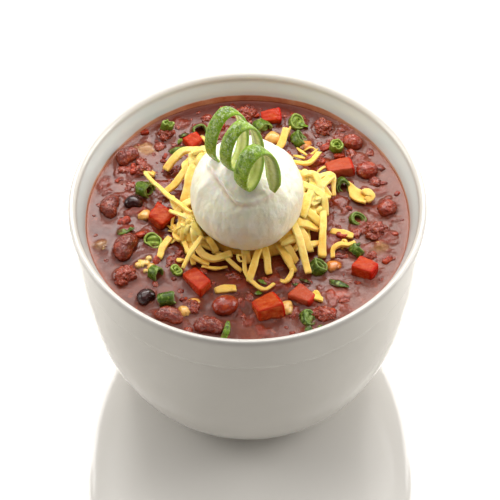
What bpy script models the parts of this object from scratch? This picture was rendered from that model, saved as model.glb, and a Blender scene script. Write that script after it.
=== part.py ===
"""A deep white bowl of chili con carne, topped with shredded cheese, a ball of sour cream and a spiral of green chili.

The origin is on the floor under the bowl's axis. +Z is up, -Y is the front, and every size is in metres.
"""

import math
import random

import bmesh
import bpy
from mathutils import Matrix, Vector
from mathutils.bvhtree import BVHTree

MM = 0.001
SEED = 7
GAP = 0.35 * MM

# The bowl
SEGMENTS = 44
RIM_RADIUS = 78 * MM
BOWL_HEIGHT = 111 * MM
LIP_THICKNESS = 3.4 * MM
BAND_HEIGHT = 19.5 * MM
BAND_TAPER = 1.2 * MM
BAND_STEP = 1.1 * MM
FOOT_RADIUS = 31 * MM
FOOT_WIDTH = 4 * MM
FOOT_HEIGHT = 2.6 * MM
FOOT_RECESS = 1.8 * MM
INSIDE_FLOOR = 8 * MM
INSIDE_FLAT_RADIUS = 27 * MM
BELLY_ACROSS = 2.63
BELLY_DOWN = 1.77
OUTSIDE_ROWS = 7
INSIDE_ROWS = 5

# The chili's surface
SOUP_DEPTH = 12 * MM
SOUP_Z = BOWL_HEIGHT - SOUP_DEPTH
SOUP_RADIUS = 70.5 * MM
WALL_LIMIT = 69.4 * MM

# The sour cream: a ball, flat where it sits on the cheese
CREAM_RADIUS = 24.5 * MM
CREAM_CENTRE = Vector((-0.4 * MM, -1.7 * MM, SOUP_Z + 20 * MM))
CREAM_FLAT_Z = SOUP_Z + 5 * MM
FOLD_HEIGHT = 1.6 * MM

# The cheese: a low core, wider at the back and the right, with strands on it
CORE_RADIUS = 27 * MM
CORE_TOP_RADIUS = 23 * MM
CORE_OFFSET = Vector((3 * MM, 4 * MM, 0.0))
STRAND_WIDTH = 3.6 * MM
STRAND_THICKNESS = 2.0 * MM
MOST_ROWS = 5
MOST_LIFT = 3.6 * MM

# The spiral of green chili on top
LOOP_CENTRE = Vector((-8.4 * MM, -1.5 * MM, 156.4 * MM))
LOOP_STEP = Vector((6.3 * MM, -8.8 * MM, 1.2 * MM))
LOOP_ARCH = 3.3 * MM
LOOP_ACROSS = Vector((1.0, 1.0, 0.0)).normalized()
LOOP_UP = Vector((0.0, 0.0, 1.0))
LOOP_HALF_WIDTH = 7.7 * MM
LOOP_HALF_HEIGHT = 14.9 * MM
LOOP_START, LOOP_END = 268.0, -760.0
LOOP_ROWS = 50
PEEL_WIDTH = 5.8 * MM
PEEL_THICKNESS = 1.9 * MM

# What floats in the chili. Places are in mm from the bowl's axis: x to the right, y to the back.
# A cube of tomato is x, y, width, depth, height, turn in degrees, how far its middle is above the chili.
TOMATOES = (
    (8, -51, 12.5, 9.5, 9, 24, 1.5),
    (50, -30, 10, 8, 8, -30, 1.2),
    (-38, 0, 9, 10, 8.5, 55, 1.4),
    (-22, -36, 8, 14, 7, 35, 1.2),
    (41, 28, 12, 8, 7, 15, 0.6),
    (23, -44, 11, 8, 6, -35, 0.2),
    (11, 59, 8, 6, 6, 10, 0.8),
    (-24, 45, 7, 6, 6, 40, 1.0),
)
# A bean is x, y, length, width, turn in degrees, how far its middle is above the chili, its kind.
BEANS = (
    (-10, -49, 12.0, 9.5, 20, 1.6, "red"),
    (-53, -16, 15.0, 10.0, 65, 1.6, "kidney"),
    (-60, 8, 13.0, 8.5, 80, 0.8, "kidney"),
    (53, 27, 10.0, 8.5, 10, 1.2, "red"),
    (61, 5, 9.5, 8.0, 60, 0.8, "red"),
    (-34, -54, 13.0, 8.0, -20, 1.2, "kidney"),
    (-17, -60, 13.5, 8.5, -8, 1.2, "kidney"),
    (47, 44, 9.5, 8.0, -25, 0.8, "red"),
    (-53, 37, 12.0, 8.5, 40, 0.8, "kidney"),
    (29, 33, 9.0, 7.0, -15, 0.8, "red"),
    (-44, -44, 9.0, 7.2, 45, 1.8, "black"),
    (-50, 10, 8.5, 6.8, 0, 1.0, "black"),
)
# A meat lump is x, y, radius.
MEAT_LUMPS = (
    (-53, -31, 5.2),
    (56, -8, 5.0),
    (34, 53, 4.6),
    (32, -54, 4.8),
    (-36, 50, 3.8),
    (0, 62, 4.2),
    (-46, 29, 3.6),
    (-24, -49, 3.4),
)
# A slice of spring onion is x, y, radius, height, tilt, turn in degrees.
ONION_RINGS = (
    (-45, 17, 4.0, 5.0, 50, 30),
    (-41, -12, 3.8, 3.0, 20, 0),
    (-35, -45, 3.4, 6.5, 80, 95),
    (-36, 54, 2.7, 6.0, 70, 80),
    (-21, 51, 3.6, 4.0, 40, 20),
    (22, 56, 3.8, 4.5, 25, 60),
    (23, 46, 3.6, 4.5, 50, 100),
    (7, 54, 3.2, 5.5, 80, 30),
    (48, -1, 3.4, 3.0, 30, 50),
    (42, 18, 3.4, 4.0, 60, 10),
    (-40, -31, 3.2, 4.5, 75, 50),
    (25, -56, 3.6, 4.0, 35, 70),
    (30, -28, 3.6, 5.0, 40, 110),
    (47, -19, 3.0, 4.0, 60, 130),
)
# A strip of spring onion is x, y, length, turn in degrees, lift of its far end.
ONION_STRIPS = (
    (40, 42, 9.0, 75, 2.0),
    (-31, -29, 6.5, 70, 1.0),
    (-10, -63, 9.0, 75, 2.5),
    (39, -37, 9.0, -25, 0.8),
    (-54, -6, 6.0, 10, 0.5),
    (25, -62, 7.0, 95, 0.6),
    (-31, 41, 7.0, 20, 0.8),
)
# A kernel of corn is x, y, turn in degrees.
CORN = (
    (-45, 3, 60),
    (12, 47, -30),
    (-45, -24, 10),
    (-45, 43, 0),
    (-64, -13, 40),
    (37, -27, 15),
    (16, -50, 70),
    (26, 43, 30),
    (-27, -51, 0),
)
# A loose strand of cheese is x, y, length, turn in degrees.
LOOSE_STRANDS = (
    (-45, 28, 9, -25),
    (41, -9, 10, -18),
    (50, 11, 10, 60),
    (-36, -16, 12, 65),
    (-10, -40, 9, 5),
    (43, -19, 7, 30),
    (29, -46, 5, -30),
    (16, 45, 9, 65),
)
CRUMBS = 14
CRUMB_SIZE = (1.3 * MM, 2.3 * MM)
CRUMB_CLEARANCE = 1.2 * MM

# Mounds under the strands: x, y, height above the chili and half sizes, in mm.
MOUNDS = (
    (27, 9, 1, 9, 15, 9),
    (-18, 26, 1, 9, 9, 15),
    (-24, -9, 1, 7, 9, 9),
    (11, 29, 1, 10, 8, 6),
)
# The strands that show: points of x, y and height above the chili, in mm.
HEAP_STRANDS = (
    ((-20, 28, 14), (-25, 16, 10), (-28, 6, 3)),
    ((-18, 29, 13), (-27, 34, 8), (-32, 32, 5), (-36, 28, 2)),
    ((-26, 25, 8), (-31, 18, 5), (-37, 14, 2)),
    ((-45, 22, 3.5), (-36, 9, 5), (-24, -5, 8)),
    ((-34, 0, 4), (-24, -9, 7)),
    ((-25, -4, 9), (-22, -19, 6), (-16, -25, 4), (-7, -22, 4)),
    ((-20, -17, 6), (-28, -31, 1.8)),
    ((-28, -14, 4), (-25, -22, 4), (-17, -27, 2.5)),
    ((-15, -20, 3), (-3, -30, 1.8)),
    ((-2, -17, 5), (0, -26, 2.0)),
    ((6, -18, 5), (0, -36, 1.8)),
    ((7, -19, 5), (9, -32, 1.8)),
    ((-2, -18, 5), (-1, -32, 3), (3, -38, 2), (7, -41, 2.5), (11, -38, 2.5)),
    ((14, -15, 6), (21, -26, 2.5)),
    ((13, -17, 4), (20, -31, 1.8)),
    ((19, -7, 8), (26, -33, 1.8)),
    ((22, -10, 6), (27, -20, 2.0)),
    ((33, 4, 6), (32, -23, 1.8)),
    ((26, 2, 9), (37, 18, 8)),
    ((24, 16, 12), (30, 15, 12), (33, 5, 9)),
    ((21, 13, 11), (32, 6, 10), (34, -2, 5)),
    ((23, -1, 10), (32, -7, 5)),
    ((21, -8, 8), (31, -9, 4)),
    ((27, 14, 9), (37, 20, 6), (38, 10, 3)),
    ((17, 29, 6), (25, 22, 5), (34, 20, 6)),
    ((20, 27, 5), (27, 28, 3), (32, 35, 2)),
    ((12, 30, 5), (19, 34, 3)),
    ((24, 20, 9), (36, 8, 6)),
    ((30, 20, 8), (27, 4, 11), (24, -6, 9)),
    ((-12, 28, 8), (-22, 38, 2.5)),
    ((2, 28, 6), (-4, 39, 2.5)),
    ((-25, -2, 8), (-29, -12, 5)),
)
FILLERS = 8


def material(name, colour, roughness):
    """A Principled material."""
    made = bpy.data.materials.new(name)
    made.use_nodes = True
    shader = made.node_tree.nodes["Principled BSDF"]
    shader.inputs["Base Color"].default_value = (*colour, 1.0)
    shader.inputs["Roughness"].default_value = roughness
    shader.inputs["Metallic"].default_value = 0.0
    return made


def add_object(name, shape, finish=None, smooth=True):
    """Makes an object of a bmesh, which it frees, with its faces pointing out."""
    bmesh.ops.recalc_face_normals(shape, faces=shape.faces[:])
    mesh = bpy.data.meshes.new(name)
    shape.to_mesh(mesh)
    shape.free()
    if smooth:
        mesh.shade_smooth()
        mesh.set_sharp_from_angle(angle=math.radians(40))
    made = bpy.data.objects.new(name, mesh)
    bpy.context.scene.collection.objects.link(made)
    if finish:
        mesh.materials.append(finish)
    return made


def turned(profile):
    """The closed shape that a profile of (radius, height) points makes when turned about Z. Both ends are on the axis."""
    shape = bmesh.new()
    rings = []
    for radius, z in profile[1:-1]:
        rings.append(
            [
                shape.verts.new((radius * math.cos(a), radius * math.sin(a), z))
                for a in (math.tau * i / SEGMENTS for i in range(SEGMENTS))
            ]
        )
    for lower, upper in zip(rings, rings[1:]):
        for i in range(SEGMENTS):
            j = (i + 1) % SEGMENTS
            shape.faces.new((lower[i], lower[j], upper[j], upper[i]))
    for ring, (_, z) in ((rings[0], profile[0]), (rings[-1], profile[-1])):
        middle = shape.verts.new((0, 0, z))
        for i in range(SEGMENTS):
            shape.faces.new((middle, ring[i], ring[(i + 1) % SEGMENTS]))
    return shape


def belly(top_radius, top_z, flat_radius, flat_z, rows):
    """The bowl's full curve from (top_radius, top_z) down to the flat bottom, as a superellipse."""
    points = []
    for row in range(rows + 1):
        angle = math.pi / 2 * row / rows
        across = max(math.cos(angle), 0.0) ** (2 / BELLY_ACROSS)
        down = math.sin(angle) ** (2 / BELLY_DOWN)
        points.append(
            (flat_radius + (top_radius - flat_radius) * across, top_z - (top_z - flat_z) * down)
        )
    return points


def inside_wall(offset=0.0):
    """The inside of the bowl, from under the lip to the floor's edge, moved in by offset."""
    upper = [(71.9 * MM - offset, BOWL_HEIGHT - 7.5 * MM)]
    top = (SOUP_RADIUS - offset, SOUP_Z)
    lower = belly(
        70.0 * MM - offset,
        BOWL_HEIGHT - BAND_HEIGHT,
        INSIDE_FLAT_RADIUS - offset,
        INSIDE_FLOOR + offset,
        INSIDE_ROWS,
    )
    return upper, [top] + lower


def build_bowl(finish):
    """A bulging bowl on a foot ring, with a band round its mouth that ends in a small step."""
    step_radius = RIM_RADIUS - BAND_TAPER - BAND_STEP
    band_z = BOWL_HEIGHT - BAND_HEIGHT
    outside = belly(step_radius, band_z, FOOT_RADIUS, FOOT_HEIGHT, OUTSIDE_ROWS)
    upper, lower = inside_wall()
    lip = [
        (RIM_RADIUS, BOWL_HEIGHT - 1.6 * MM),
        (RIM_RADIUS - 0.7 * MM, BOWL_HEIGHT - 0.3 * MM),
        (RIM_RADIUS - LIP_THICKNESS / 2, BOWL_HEIGHT),
        (RIM_RADIUS - LIP_THICKNESS + 0.3 * MM, BOWL_HEIGHT - 0.5 * MM),
    ]
    profile = (
        [
            (0.0, FOOT_RECESS),
            (FOOT_RADIUS - FOOT_WIDTH, FOOT_RECESS),
            (FOOT_RADIUS - FOOT_WIDTH + 0.6 * MM, 0.0),
            (FOOT_RADIUS - 0.8 * MM, 0.0),
        ]
        + outside[::-1]
        + [(RIM_RADIUS - BAND_TAPER, band_z + 1.0 * MM)]
        + lip
        + upper
        + lower
        + [(0.0, INSIDE_FLOOR)]
    )
    return add_object("bowl", turned(profile), finish)


def build_soup(finish):
    """The chili without its pieces: it fills the bowl up to its level."""
    _, wall = inside_wall(GAP)
    return add_object("chili", turned([(0.0, SOUP_Z), *wall, (0.0, INSIDE_FLOOR + GAP)]), finish)


def swept(centres, sides, ups, width, thickness):
    """A strip of rectangular section along a line of points. sides and ups are the section's directions at each point."""
    shape = bmesh.new()
    rings = []
    for centre, side, up in zip(centres, sides, ups):
        across, over = side * width / 2, up * thickness / 2
        corners = (across + over, -across + over, -across - over, across - over)
        rings.append([shape.verts.new(centre + corner) for corner in corners])
    for near, far in zip(rings, rings[1:]):
        for i in range(4):
            j = (i + 1) % 4
            shape.faces.new((near[i], near[j], far[j], far[i]))
    shape.faces.new(rings[0][::-1])
    shape.faces.new(rings[-1])
    return shape


def smooth_line(points, rows):
    """rows + 1 places along a smooth curve through the points."""
    if len(points) == 2:
        middle = (points[0] + points[1]) / 2 + Vector((0, 0, 0.08 * (points[1] - points[0]).length))
        points = [points[0], middle, points[1]]
    padded = [2 * points[0] - points[1], *points, 2 * points[-1] - points[-2]]
    places = []
    for row in range(rows + 1):
        along = (len(points) - 1) * row / rows
        part = min(int(along), len(points) - 2)
        t = along - part
        a, b, c, d = padded[part : part + 4]
        places.append(
            0.5 * ((2 * b) + (c - a) * t + (2 * a - 5 * b + 4 * c - d) * t**2 + (3 * b - a - 3 * c + d) * t**3)
        )
    return places


def strand(points, width=STRAND_WIDTH, thickness=STRAND_THICKNESS):
    """A flat strip through the points, its broad side up."""
    rows = min(MOST_ROWS, 2 * len(points) - 2)
    centres = smooth_line(points, rows)
    sides, ups = [], []
    for i in range(rows + 1):
        along = (centres[min(i + 1, rows)] - centres[max(i - 1, 0)]).normalized()
        side = along.cross(Vector((0, 0, 1)))
        sides.append(side.normalized())
        ups.append(side.cross(along).normalized())
    return swept(centres, sides, ups, width, thickness)


def ring(radius, height, tilt, turn, place):
    """A slice of spring onion: a short tube."""
    sides, wall = 7, 1.3 * MM
    shape = bmesh.new()
    outlines = []
    for r, z in ((radius, -height / 2), (radius, height / 2), (radius - wall, height / 2), (radius - wall, -height / 2)):
        outlines.append(
            [
                shape.verts.new((r * math.cos(math.tau * i / sides), r * math.sin(math.tau * i / sides), z))
                for i in range(sides)
            ]
        )
    for near, far in zip(outlines, outlines[1:] + outlines[:1]):
        for i in range(sides):
            j = (i + 1) % sides
            shape.faces.new((near[i], near[j], far[j], far[i]))
    pose = Matrix.Translation(place) @ Matrix.Rotation(turn, 4, "Z") @ Matrix.Rotation(tilt, 4, "X")
    shape.transform(pose)
    return shape


def ball(detail, radii, place, turn=0.0, roughness=0.0, rng=None, bow=0.0):
    """A stretched ball, with its middle pushed sideways by bow and its points moved at random by roughness."""
    shape = bmesh.new()
    bmesh.ops.create_icosphere(shape, subdivisions=detail, radius=1.0)
    for vert in shape.verts:
        swell = 1.0 + (rng.uniform(-roughness, roughness) if rng else 0.0)
        point = Vector((vert.co.x * radii[0], vert.co.y * radii[1], vert.co.z * radii[2])) * swell
        point.y += bow * (0.4 - vert.co.x**2)
        vert.co = point
    shape.transform(Matrix.Translation(place) @ Matrix.Rotation(turn, 4, "Z"))
    return shape


def kernel(place, turn):
    """A kernel of corn: a wedge with a round back, of six sides."""
    shape = bmesh.new()
    bmesh.ops.create_uvsphere(shape, u_segments=6, v_segments=4, radius=1.0)
    for vert in shape.verts:
        taper = 1.0 - 0.3 * vert.co.x
        vert.co = Vector((4.0 * MM * vert.co.x, 3.2 * MM * vert.co.y * taper, 2.4 * MM * vert.co.z))
    shape.transform(Matrix.Translation(place) @ Matrix.Rotation(turn, 4, "Z"))
    return shape


def cube_of_tomato(size, place, turn, rng):
    """A cut cube of tomato: a box with uneven corners, a bulging skin side and soft edges."""
    shape = bmesh.new()
    bmesh.ops.create_cube(shape, size=1.0)
    for vert in shape.verts:
        uneven = [1.0 + rng.uniform(-0.14, 0.14) for _ in range(3)]
        vert.co = Vector(c * s * u for c, s, u in zip(vert.co, size, uneven))
    bmesh.ops.bevel(shape, geom=shape.edges[:], offset=0.9 * MM, segments=1, affect="EDGES")
    lean = Matrix.Rotation(math.radians(rng.uniform(-14, 14)), 4, "X")
    shape.transform(Matrix.Translation(place) @ Matrix.Rotation(turn, 4, "Z") @ lean)
    return shape


def grown(source, name, amount):
    """A copy of an object with its surface moved out by amount, hidden, to cut a clear pocket with."""
    shape = bmesh.new()
    shape.from_mesh(source.data)
    bmesh.ops.recalc_face_normals(shape, faces=shape.faces[:])
    shape.normal_update()
    for vert, place in [(v, v.co + v.normal * amount * v.calc_shell_factor()) for v in shape.verts]:
        vert.co = place
    made = add_object(name, shape, smooth=False)
    made.hide_render = True
    made.display_type = "WIRE"
    return made


def combine(target, objects, operation, solver="MANIFOLD"):
    """Joins the objects to the target, or cuts them from it, in one Boolean, and removes them."""
    group = bpy.data.collections.new("pieces_of_" + target.name)
    bpy.context.scene.collection.children.link(group)
    for obj in objects:
        bpy.context.scene.collection.objects.unlink(obj)
        group.objects.link(obj)
    step = target.modifiers.new(operation.lower(), "BOOLEAN")
    step.operation = operation
    step.solver = solver
    step.operand_type = "COLLECTION"
    step.collection = group
    bpy.context.view_layer.update()
    graph = bpy.context.evaluated_depsgraph_get()
    result = bpy.data.meshes.new_from_object(target.evaluated_get(graph))
    target.modifiers.clear()
    target.data = result
    for obj in objects:
        bpy.data.objects.remove(obj)
    bpy.data.collections.remove(group)


def search_tree(obj):
    """A search tree of an object's faces."""
    shape = bmesh.new()
    shape.from_mesh(obj.data)
    tree = BVHTree.FromBMesh(shape)
    shape.free()
    return tree


def keep_main_body(target):
    """Drops loose scraps and fills sealed hollows: only the largest connected shell stays."""
    shape = bmesh.new()
    shape.from_mesh(target.data)
    bmesh.ops.remove_doubles(shape, verts=shape.verts[:], dist=0.002 * MM)
    waiting = set(shape.faces)
    shells = []
    while waiting:
        shell, stack = set(), [waiting.pop()]
        while stack:
            face = stack.pop()
            shell.add(face)
            for edge in face.edges:
                for other in edge.link_faces:
                    if other in waiting:
                        waiting.discard(other)
                        stack.append(other)
        shells.append(shell)
    shells.sort(key=len)
    scraps = [face for shell in shells[:-1] for face in shell]
    bmesh.ops.delete(shape, geom=scraps, context="FACES")
    shape.to_mesh(target.data)
    shape.free()
    target.data.shade_smooth()
    target.data.set_sharp_from_angle(angle=math.radians(30))


def build_cream(finish):
    """The ball of sour cream, with a flat foot and a soft fold that winds down from its peak."""
    shape = bmesh.new()
    rows, columns = 12, 24
    foot_angle = math.acos((CREAM_FLAT_Z - CREAM_CENTRE.z) / CREAM_RADIUS)
    rings = []
    for row in range(1, rows + 1):
        down = foot_angle * row / rows
        outline = []
        for column in range(columns):
            around = math.tau * column / columns
            fold = math.cos(around - math.radians(215) - 1.5 * down)
            crest = max(0.0, fold) ** 4 * math.sin(min(math.pi, down * 2.0))
            peak = 1.2 * MM * math.exp(-((down / 0.5) ** 2))
            radius = CREAM_RADIUS + FOLD_HEIGHT * crest + peak
            outline.append(
                shape.verts.new(
                    CREAM_CENTRE
                    + Vector(
                        (
                            radius * math.sin(down) * math.cos(around),
                            radius * math.sin(down) * math.sin(around),
                            radius * math.cos(down),
                        )
                    )
                )
            )
        rings.append(outline)
    for vert in rings[-1]:
        vert.co.z = CREAM_FLAT_Z
    for near, far in zip(rings, rings[1:]):
        for i in range(columns):
            j = (i + 1) % columns
            shape.faces.new((near[i], far[i], far[j], near[j]))
    top = shape.verts.new(CREAM_CENTRE + Vector((0, 0, CREAM_RADIUS + 1.2 * MM)))
    foot = shape.verts.new((CREAM_CENTRE.x, CREAM_CENTRE.y, CREAM_FLAT_Z))
    for i in range(columns):
        j = (i + 1) % columns
        shape.faces.new((top, rings[0][i], rings[0][j]))
        shape.faces.new((foot, rings[-1][j], rings[-1][i]))
    return add_object("sour_cream", shape, finish)


def peel(name, finish, extra=0.0, longer=0.0):
    """The spiral of green chili: one ribbon, skin outwards, in leaning loops that step towards the front."""
    first, last = LOOP_START + longer, LOOP_END - longer
    centres, ups = [], []
    for row in range(LOOP_ROWS + 1):
        angle = math.radians(first + (last - first) * row / LOOP_ROWS)
        turns = (math.radians(90) - angle) / math.tau
        spoke = LOOP_ACROSS * (LOOP_HALF_WIDTH * math.cos(angle)) + LOOP_UP * (LOOP_HALF_HEIGHT * math.sin(angle))
        arch = Vector((0, 0, LOOP_ARCH * turns * (1 - turns)))
        centres.append(LOOP_CENTRE + LOOP_STEP * turns + arch + spoke)
        ups.append(spoke.normalized())
    facing = LOOP_ACROSS.cross(LOOP_UP).normalized()
    shape = swept(centres, [facing] * len(centres), ups, PEEL_WIDTH + extra, PEEL_THICKNESS + extra)
    return add_object(name, shape, finish)


def clear_strand(points, obstacles):
    """A strand through the points, lifted as a whole until it clears what lies under it. None if it never does."""
    lift = 0.0
    while lift <= MOST_LIFT:
        raised = [point + Vector((0, 0, lift)) for point in points]
        probe = strand(raised, STRAND_WIDTH + 2 * GAP, STRAND_THICKNESS + 2 * GAP)
        touching = any(BVHTree.FromBMesh(probe).overlap(tree) for tree in obstacles)
        probe.free()
        if not touching:
            return strand(raised)
        lift += 0.4 * MM
    return None


def filler_points(rng):
    """A short strand lying on the heap's sides or back, away from the gap in front."""
    around = math.radians(rng.uniform(-35, 215))
    radius = rng.uniform(25, 33)
    turn = around + rng.uniform(0.25, 0.75) * math.pi
    half = rng.uniform(5, 9)
    middle = Vector((radius * math.cos(around), radius * math.sin(around), rng.uniform(4, 7)))
    step = Vector((half * math.cos(turn), half * math.sin(turn), -1.2))
    return [(middle - step) * MM, (middle + step) * MM]


def build_cheese(finish, rng, obstacles):
    """The cheese heap: a low core and mounds with strands fused on. Strands lie over the pieces they meet."""
    profile = [
        (0.0, SOUP_Z + GAP),
        (CORE_RADIUS, SOUP_Z + GAP),
        (CORE_RADIUS, SOUP_Z + 2.0 * MM),
        (CORE_TOP_RADIUS + 2 * MM, CREAM_FLAT_Z + 1.0 * MM),
        (0.0, CREAM_FLAT_Z + 1.0 * MM),
    ]
    core = turned(profile)
    core.transform(Matrix.Translation(CORE_OFFSET))
    heap = add_object("cheese", core, finish)
    pieces = []
    for x, y, z, *half_sizes in MOUNDS:
        middle = Vector((x * MM, y * MM, SOUP_Z + z * MM))
        mound = ball(2, [half * MM for half in half_sizes], middle, roughness=0.06, rng=rng)
        for vert in mound.verts:
            vert.co.z = max(vert.co.z, SOUP_Z + GAP)
        bmesh.ops.remove_doubles(mound, verts=mound.verts[:], dist=0.01 * MM)
        pieces.append(add_object(f"mound_{x}", mound, smooth=False))
    lines = [[Vector((x, y, z)) * MM for x, y, z in points] for points in HEAP_STRANDS]
    lines += [filler_points(rng) for _ in range(FILLERS)]
    for index, points in enumerate(lines):
        shape = clear_strand([point + Vector((0, 0, SOUP_Z)) for point in points], obstacles)
        if shape:
            pieces.append(add_object(f"strand_{index}", shape, smooth=False))
    combine(heap, pieces, "UNION")
    return heap


def keep_off_wall(shape):
    """Slides a piece towards the axis until it clears the bowl's wall."""
    farthest = max(shape.verts, key=lambda vert: math.hypot(vert.co.x, vert.co.y)).co
    reach = math.hypot(farthest.x, farthest.y)
    if reach > WALL_LIMIT:
        slide = Vector((farthest.x, farthest.y, 0)) * ((WALL_LIMIT - reach) / reach)
        shape.transform(Matrix.Translation(slide))


def soup_pieces(rng, floating):
    """The small pieces fused to the chili: lumps and crumbs of meat, spring onion, corn and loose cheese."""
    taken = [(x * MM, y * MM, radius) for x, y, radius in floating]
    shapes = []

    def lay(shape, x, y, radius):
        keep_off_wall(shape)
        shapes.append(shape)
        taken.append((x, y, radius))

    def place(x, y, rise):
        return Vector((x * MM, y * MM, SOUP_Z + rise * MM))

    for x, y, radius in MEAT_LUMPS:
        size = Vector((1.0, 0.85, 0.7)) * radius * MM
        lump = ball(2, size, place(x, y, 0.3), rng.uniform(0, math.tau), 0.16, rng)
        lay(lump, x * MM, y * MM, radius * MM)
    for x, y, radius, height, tilt, turn in ONION_RINGS:
        rise = 0.3 + 0.35 * radius * math.sin(math.radians(tilt))
        shape = ring(radius * MM, height * MM, math.radians(tilt), math.radians(turn), place(x, y, rise))
        lay(shape, x * MM, y * MM, radius * MM)
    for x, y, length, turn, lift in ONION_STRIPS:
        half = Vector((math.cos(math.radians(turn)), math.sin(math.radians(turn)), 0)) * length * MM / 2
        shape = strand([place(x, y, 0.2) - half, place(x, y, 0.4 + lift) + half], 3.0 * MM, 1.5 * MM)
        lay(shape, x * MM, y * MM, length * MM / 2)
    for x, y, turn in CORN:
        lay(kernel(place(x, y, 0.4), math.radians(turn)), x * MM, y * MM, 3.5 * MM)
    for x, y, length, turn in LOOSE_STRANDS:
        half = Vector((math.cos(math.radians(turn)), math.sin(math.radians(turn)), 0)) * length * MM / 2
        side = Vector((-half.y, half.x, 0)) * 0.25
        points = [place(x, y, 0.5) - half, place(x, y, 1.0) + side, place(x, y, 1.0) + half]
        lay(strand(points), x * MM, y * MM, length * MM / 2)
    made = 0
    while made < CRUMBS:
        radius, angle = rng.uniform(47, 66) * MM, rng.uniform(0, math.tau)
        x, y = radius * math.cos(angle), radius * math.sin(angle)
        size = rng.uniform(*CRUMB_SIZE)
        if any(math.hypot(x - a, y - b) < r + size + CRUMB_CLEARANCE for a, b, r in taken):
            continue
        spot = Vector((x, y, SOUP_Z + 0.15 * size))
        lay(ball(1, (size, size * 0.8, size * 0.7), spot, angle, 0.2, rng), x, y, size)
        made += 1
    return [add_object(f"piece_{index}", shape, smooth=False) for index, shape in enumerate(shapes)]


def build_tomatoes(rng, finish):
    """One node for each cube of tomato."""
    made = []
    for index, (x, y, width, depth, height, turn, rise) in enumerate(TOMATOES):
        place = Vector((x * MM, y * MM, SOUP_Z + rise * MM))
        size = (width * MM, depth * MM, height * MM)
        shape = cube_of_tomato(size, place, math.radians(turn), rng)
        made.append(add_object(f"tomato_{index + 1}", shape, finish))
    return made


def build_beans(finishes):
    """One node for each bean."""
    made = []
    for index, (x, y, length, width, turn, rise, kind) in enumerate(BEANS):
        place = Vector((x * MM, y * MM, SOUP_Z + rise * MM))
        radii = (length * MM / 2, width * MM / 2, width * 0.42 * MM)
        bow = 0.0 if kind == "red" else 0.12 * width * MM
        shape = ball(2, radii, place, math.radians(turn), bow=bow)
        made.append(add_object(f"{kind}_bean_{index + 1}", shape, finishes[kind]))
    return made


def main():
    for obj in list(bpy.data.objects):
        bpy.data.objects.remove(obj)
    rng = random.Random(SEED)
    porcelain = material("porcelain", (0.80, 0.78, 0.74), 0.25)
    sauce = material("chili_sauce", (0.17, 0.035, 0.018), 0.3)
    tomato = material("tomato", (0.62, 0.06, 0.02), 0.3)
    bean_skins = {
        "red": material("red_bean", (0.40, 0.05, 0.025), 0.3),
        "kidney": material("kidney_bean", (0.16, 0.02, 0.015), 0.3),
        "black": material("black_bean", (0.03, 0.012, 0.014), 0.25),
    }
    cheddar = material("cheese", (0.80, 0.52, 0.12), 0.5)
    cream_white = material("sour_cream", (0.86, 0.83, 0.76), 0.4)
    chili_skin = material("green_chili", (0.13, 0.27, 0.04), 0.35)

    build_bowl(porcelain)
    soup = build_soup(sauce)
    toppings = build_tomatoes(rng, tomato) + build_beans(bean_skins)
    floating = [(x, y, 0.5 * max(width, depth) * MM) for x, y, width, depth, *_ in TOMATOES]
    floating += [(x, y, 0.5 * length * MM) for x, y, length, *_ in BEANS]
    combine(soup, soup_pieces(rng, floating), "UNION")
    pockets = [grown(topping, "pocket_" + topping.name, GAP) for topping in toppings]
    combine(soup, pockets, "DIFFERENCE")

    cream = build_cream(cream_white)
    obstacles = [search_tree(obj) for obj in [soup, *toppings]]
    heap = build_cheese(cheddar, rng, obstacles)
    combine(heap, [grown(cream, "cream_pocket", GAP)], "DIFFERENCE")
    peel("green_chili_spiral", chili_skin)
    combine(cream, [peel("peel_pocket", None, extra=2 * GAP, longer=3.0)], "DIFFERENCE")
    for target in (soup, heap, cream):
        keep_main_body(target)


main()
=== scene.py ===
import math
import random

import bmesh
import bpy
import numpy as np
from mathutils import Matrix, Vector
from mathutils.bvhtree import BVHTree


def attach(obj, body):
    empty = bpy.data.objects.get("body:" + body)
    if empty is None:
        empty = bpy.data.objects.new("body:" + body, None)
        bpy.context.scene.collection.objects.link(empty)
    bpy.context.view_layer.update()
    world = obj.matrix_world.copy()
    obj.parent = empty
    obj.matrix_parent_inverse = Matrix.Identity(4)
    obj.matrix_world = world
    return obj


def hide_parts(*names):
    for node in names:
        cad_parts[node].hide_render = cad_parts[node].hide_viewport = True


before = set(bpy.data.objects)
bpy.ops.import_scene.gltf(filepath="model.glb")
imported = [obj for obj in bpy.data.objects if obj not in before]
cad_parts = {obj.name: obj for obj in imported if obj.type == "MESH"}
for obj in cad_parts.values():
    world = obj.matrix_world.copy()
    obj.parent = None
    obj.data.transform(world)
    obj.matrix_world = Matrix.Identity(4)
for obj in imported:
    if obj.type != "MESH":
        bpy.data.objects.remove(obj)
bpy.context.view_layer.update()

# Lengths are in mm here and become metres when a mesh is made.
MM = 0.001
TAU = math.tau
BODY = "root"

# The bowl, as in the part's source.
RIM_RADIUS, BOWL_HEIGHT = 78.0, 111.0
BAND_Z = 91.5
STEP_RADIUS, WALL_RADIUS = 75.7, 70.0
FOOT_RADIUS, FOOT_HEIGHT, FOOT_RECESS = 31.0, 2.6, 1.8
INSIDE_FLOOR, INSIDE_FLAT = 8.0, 27.0
BELLY_ACROSS, BELLY_DOWN = 2.63, 1.77
SOUP_Z, SOUP_RADIUS = 99.0, 70.5
GAP = 0.35

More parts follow.
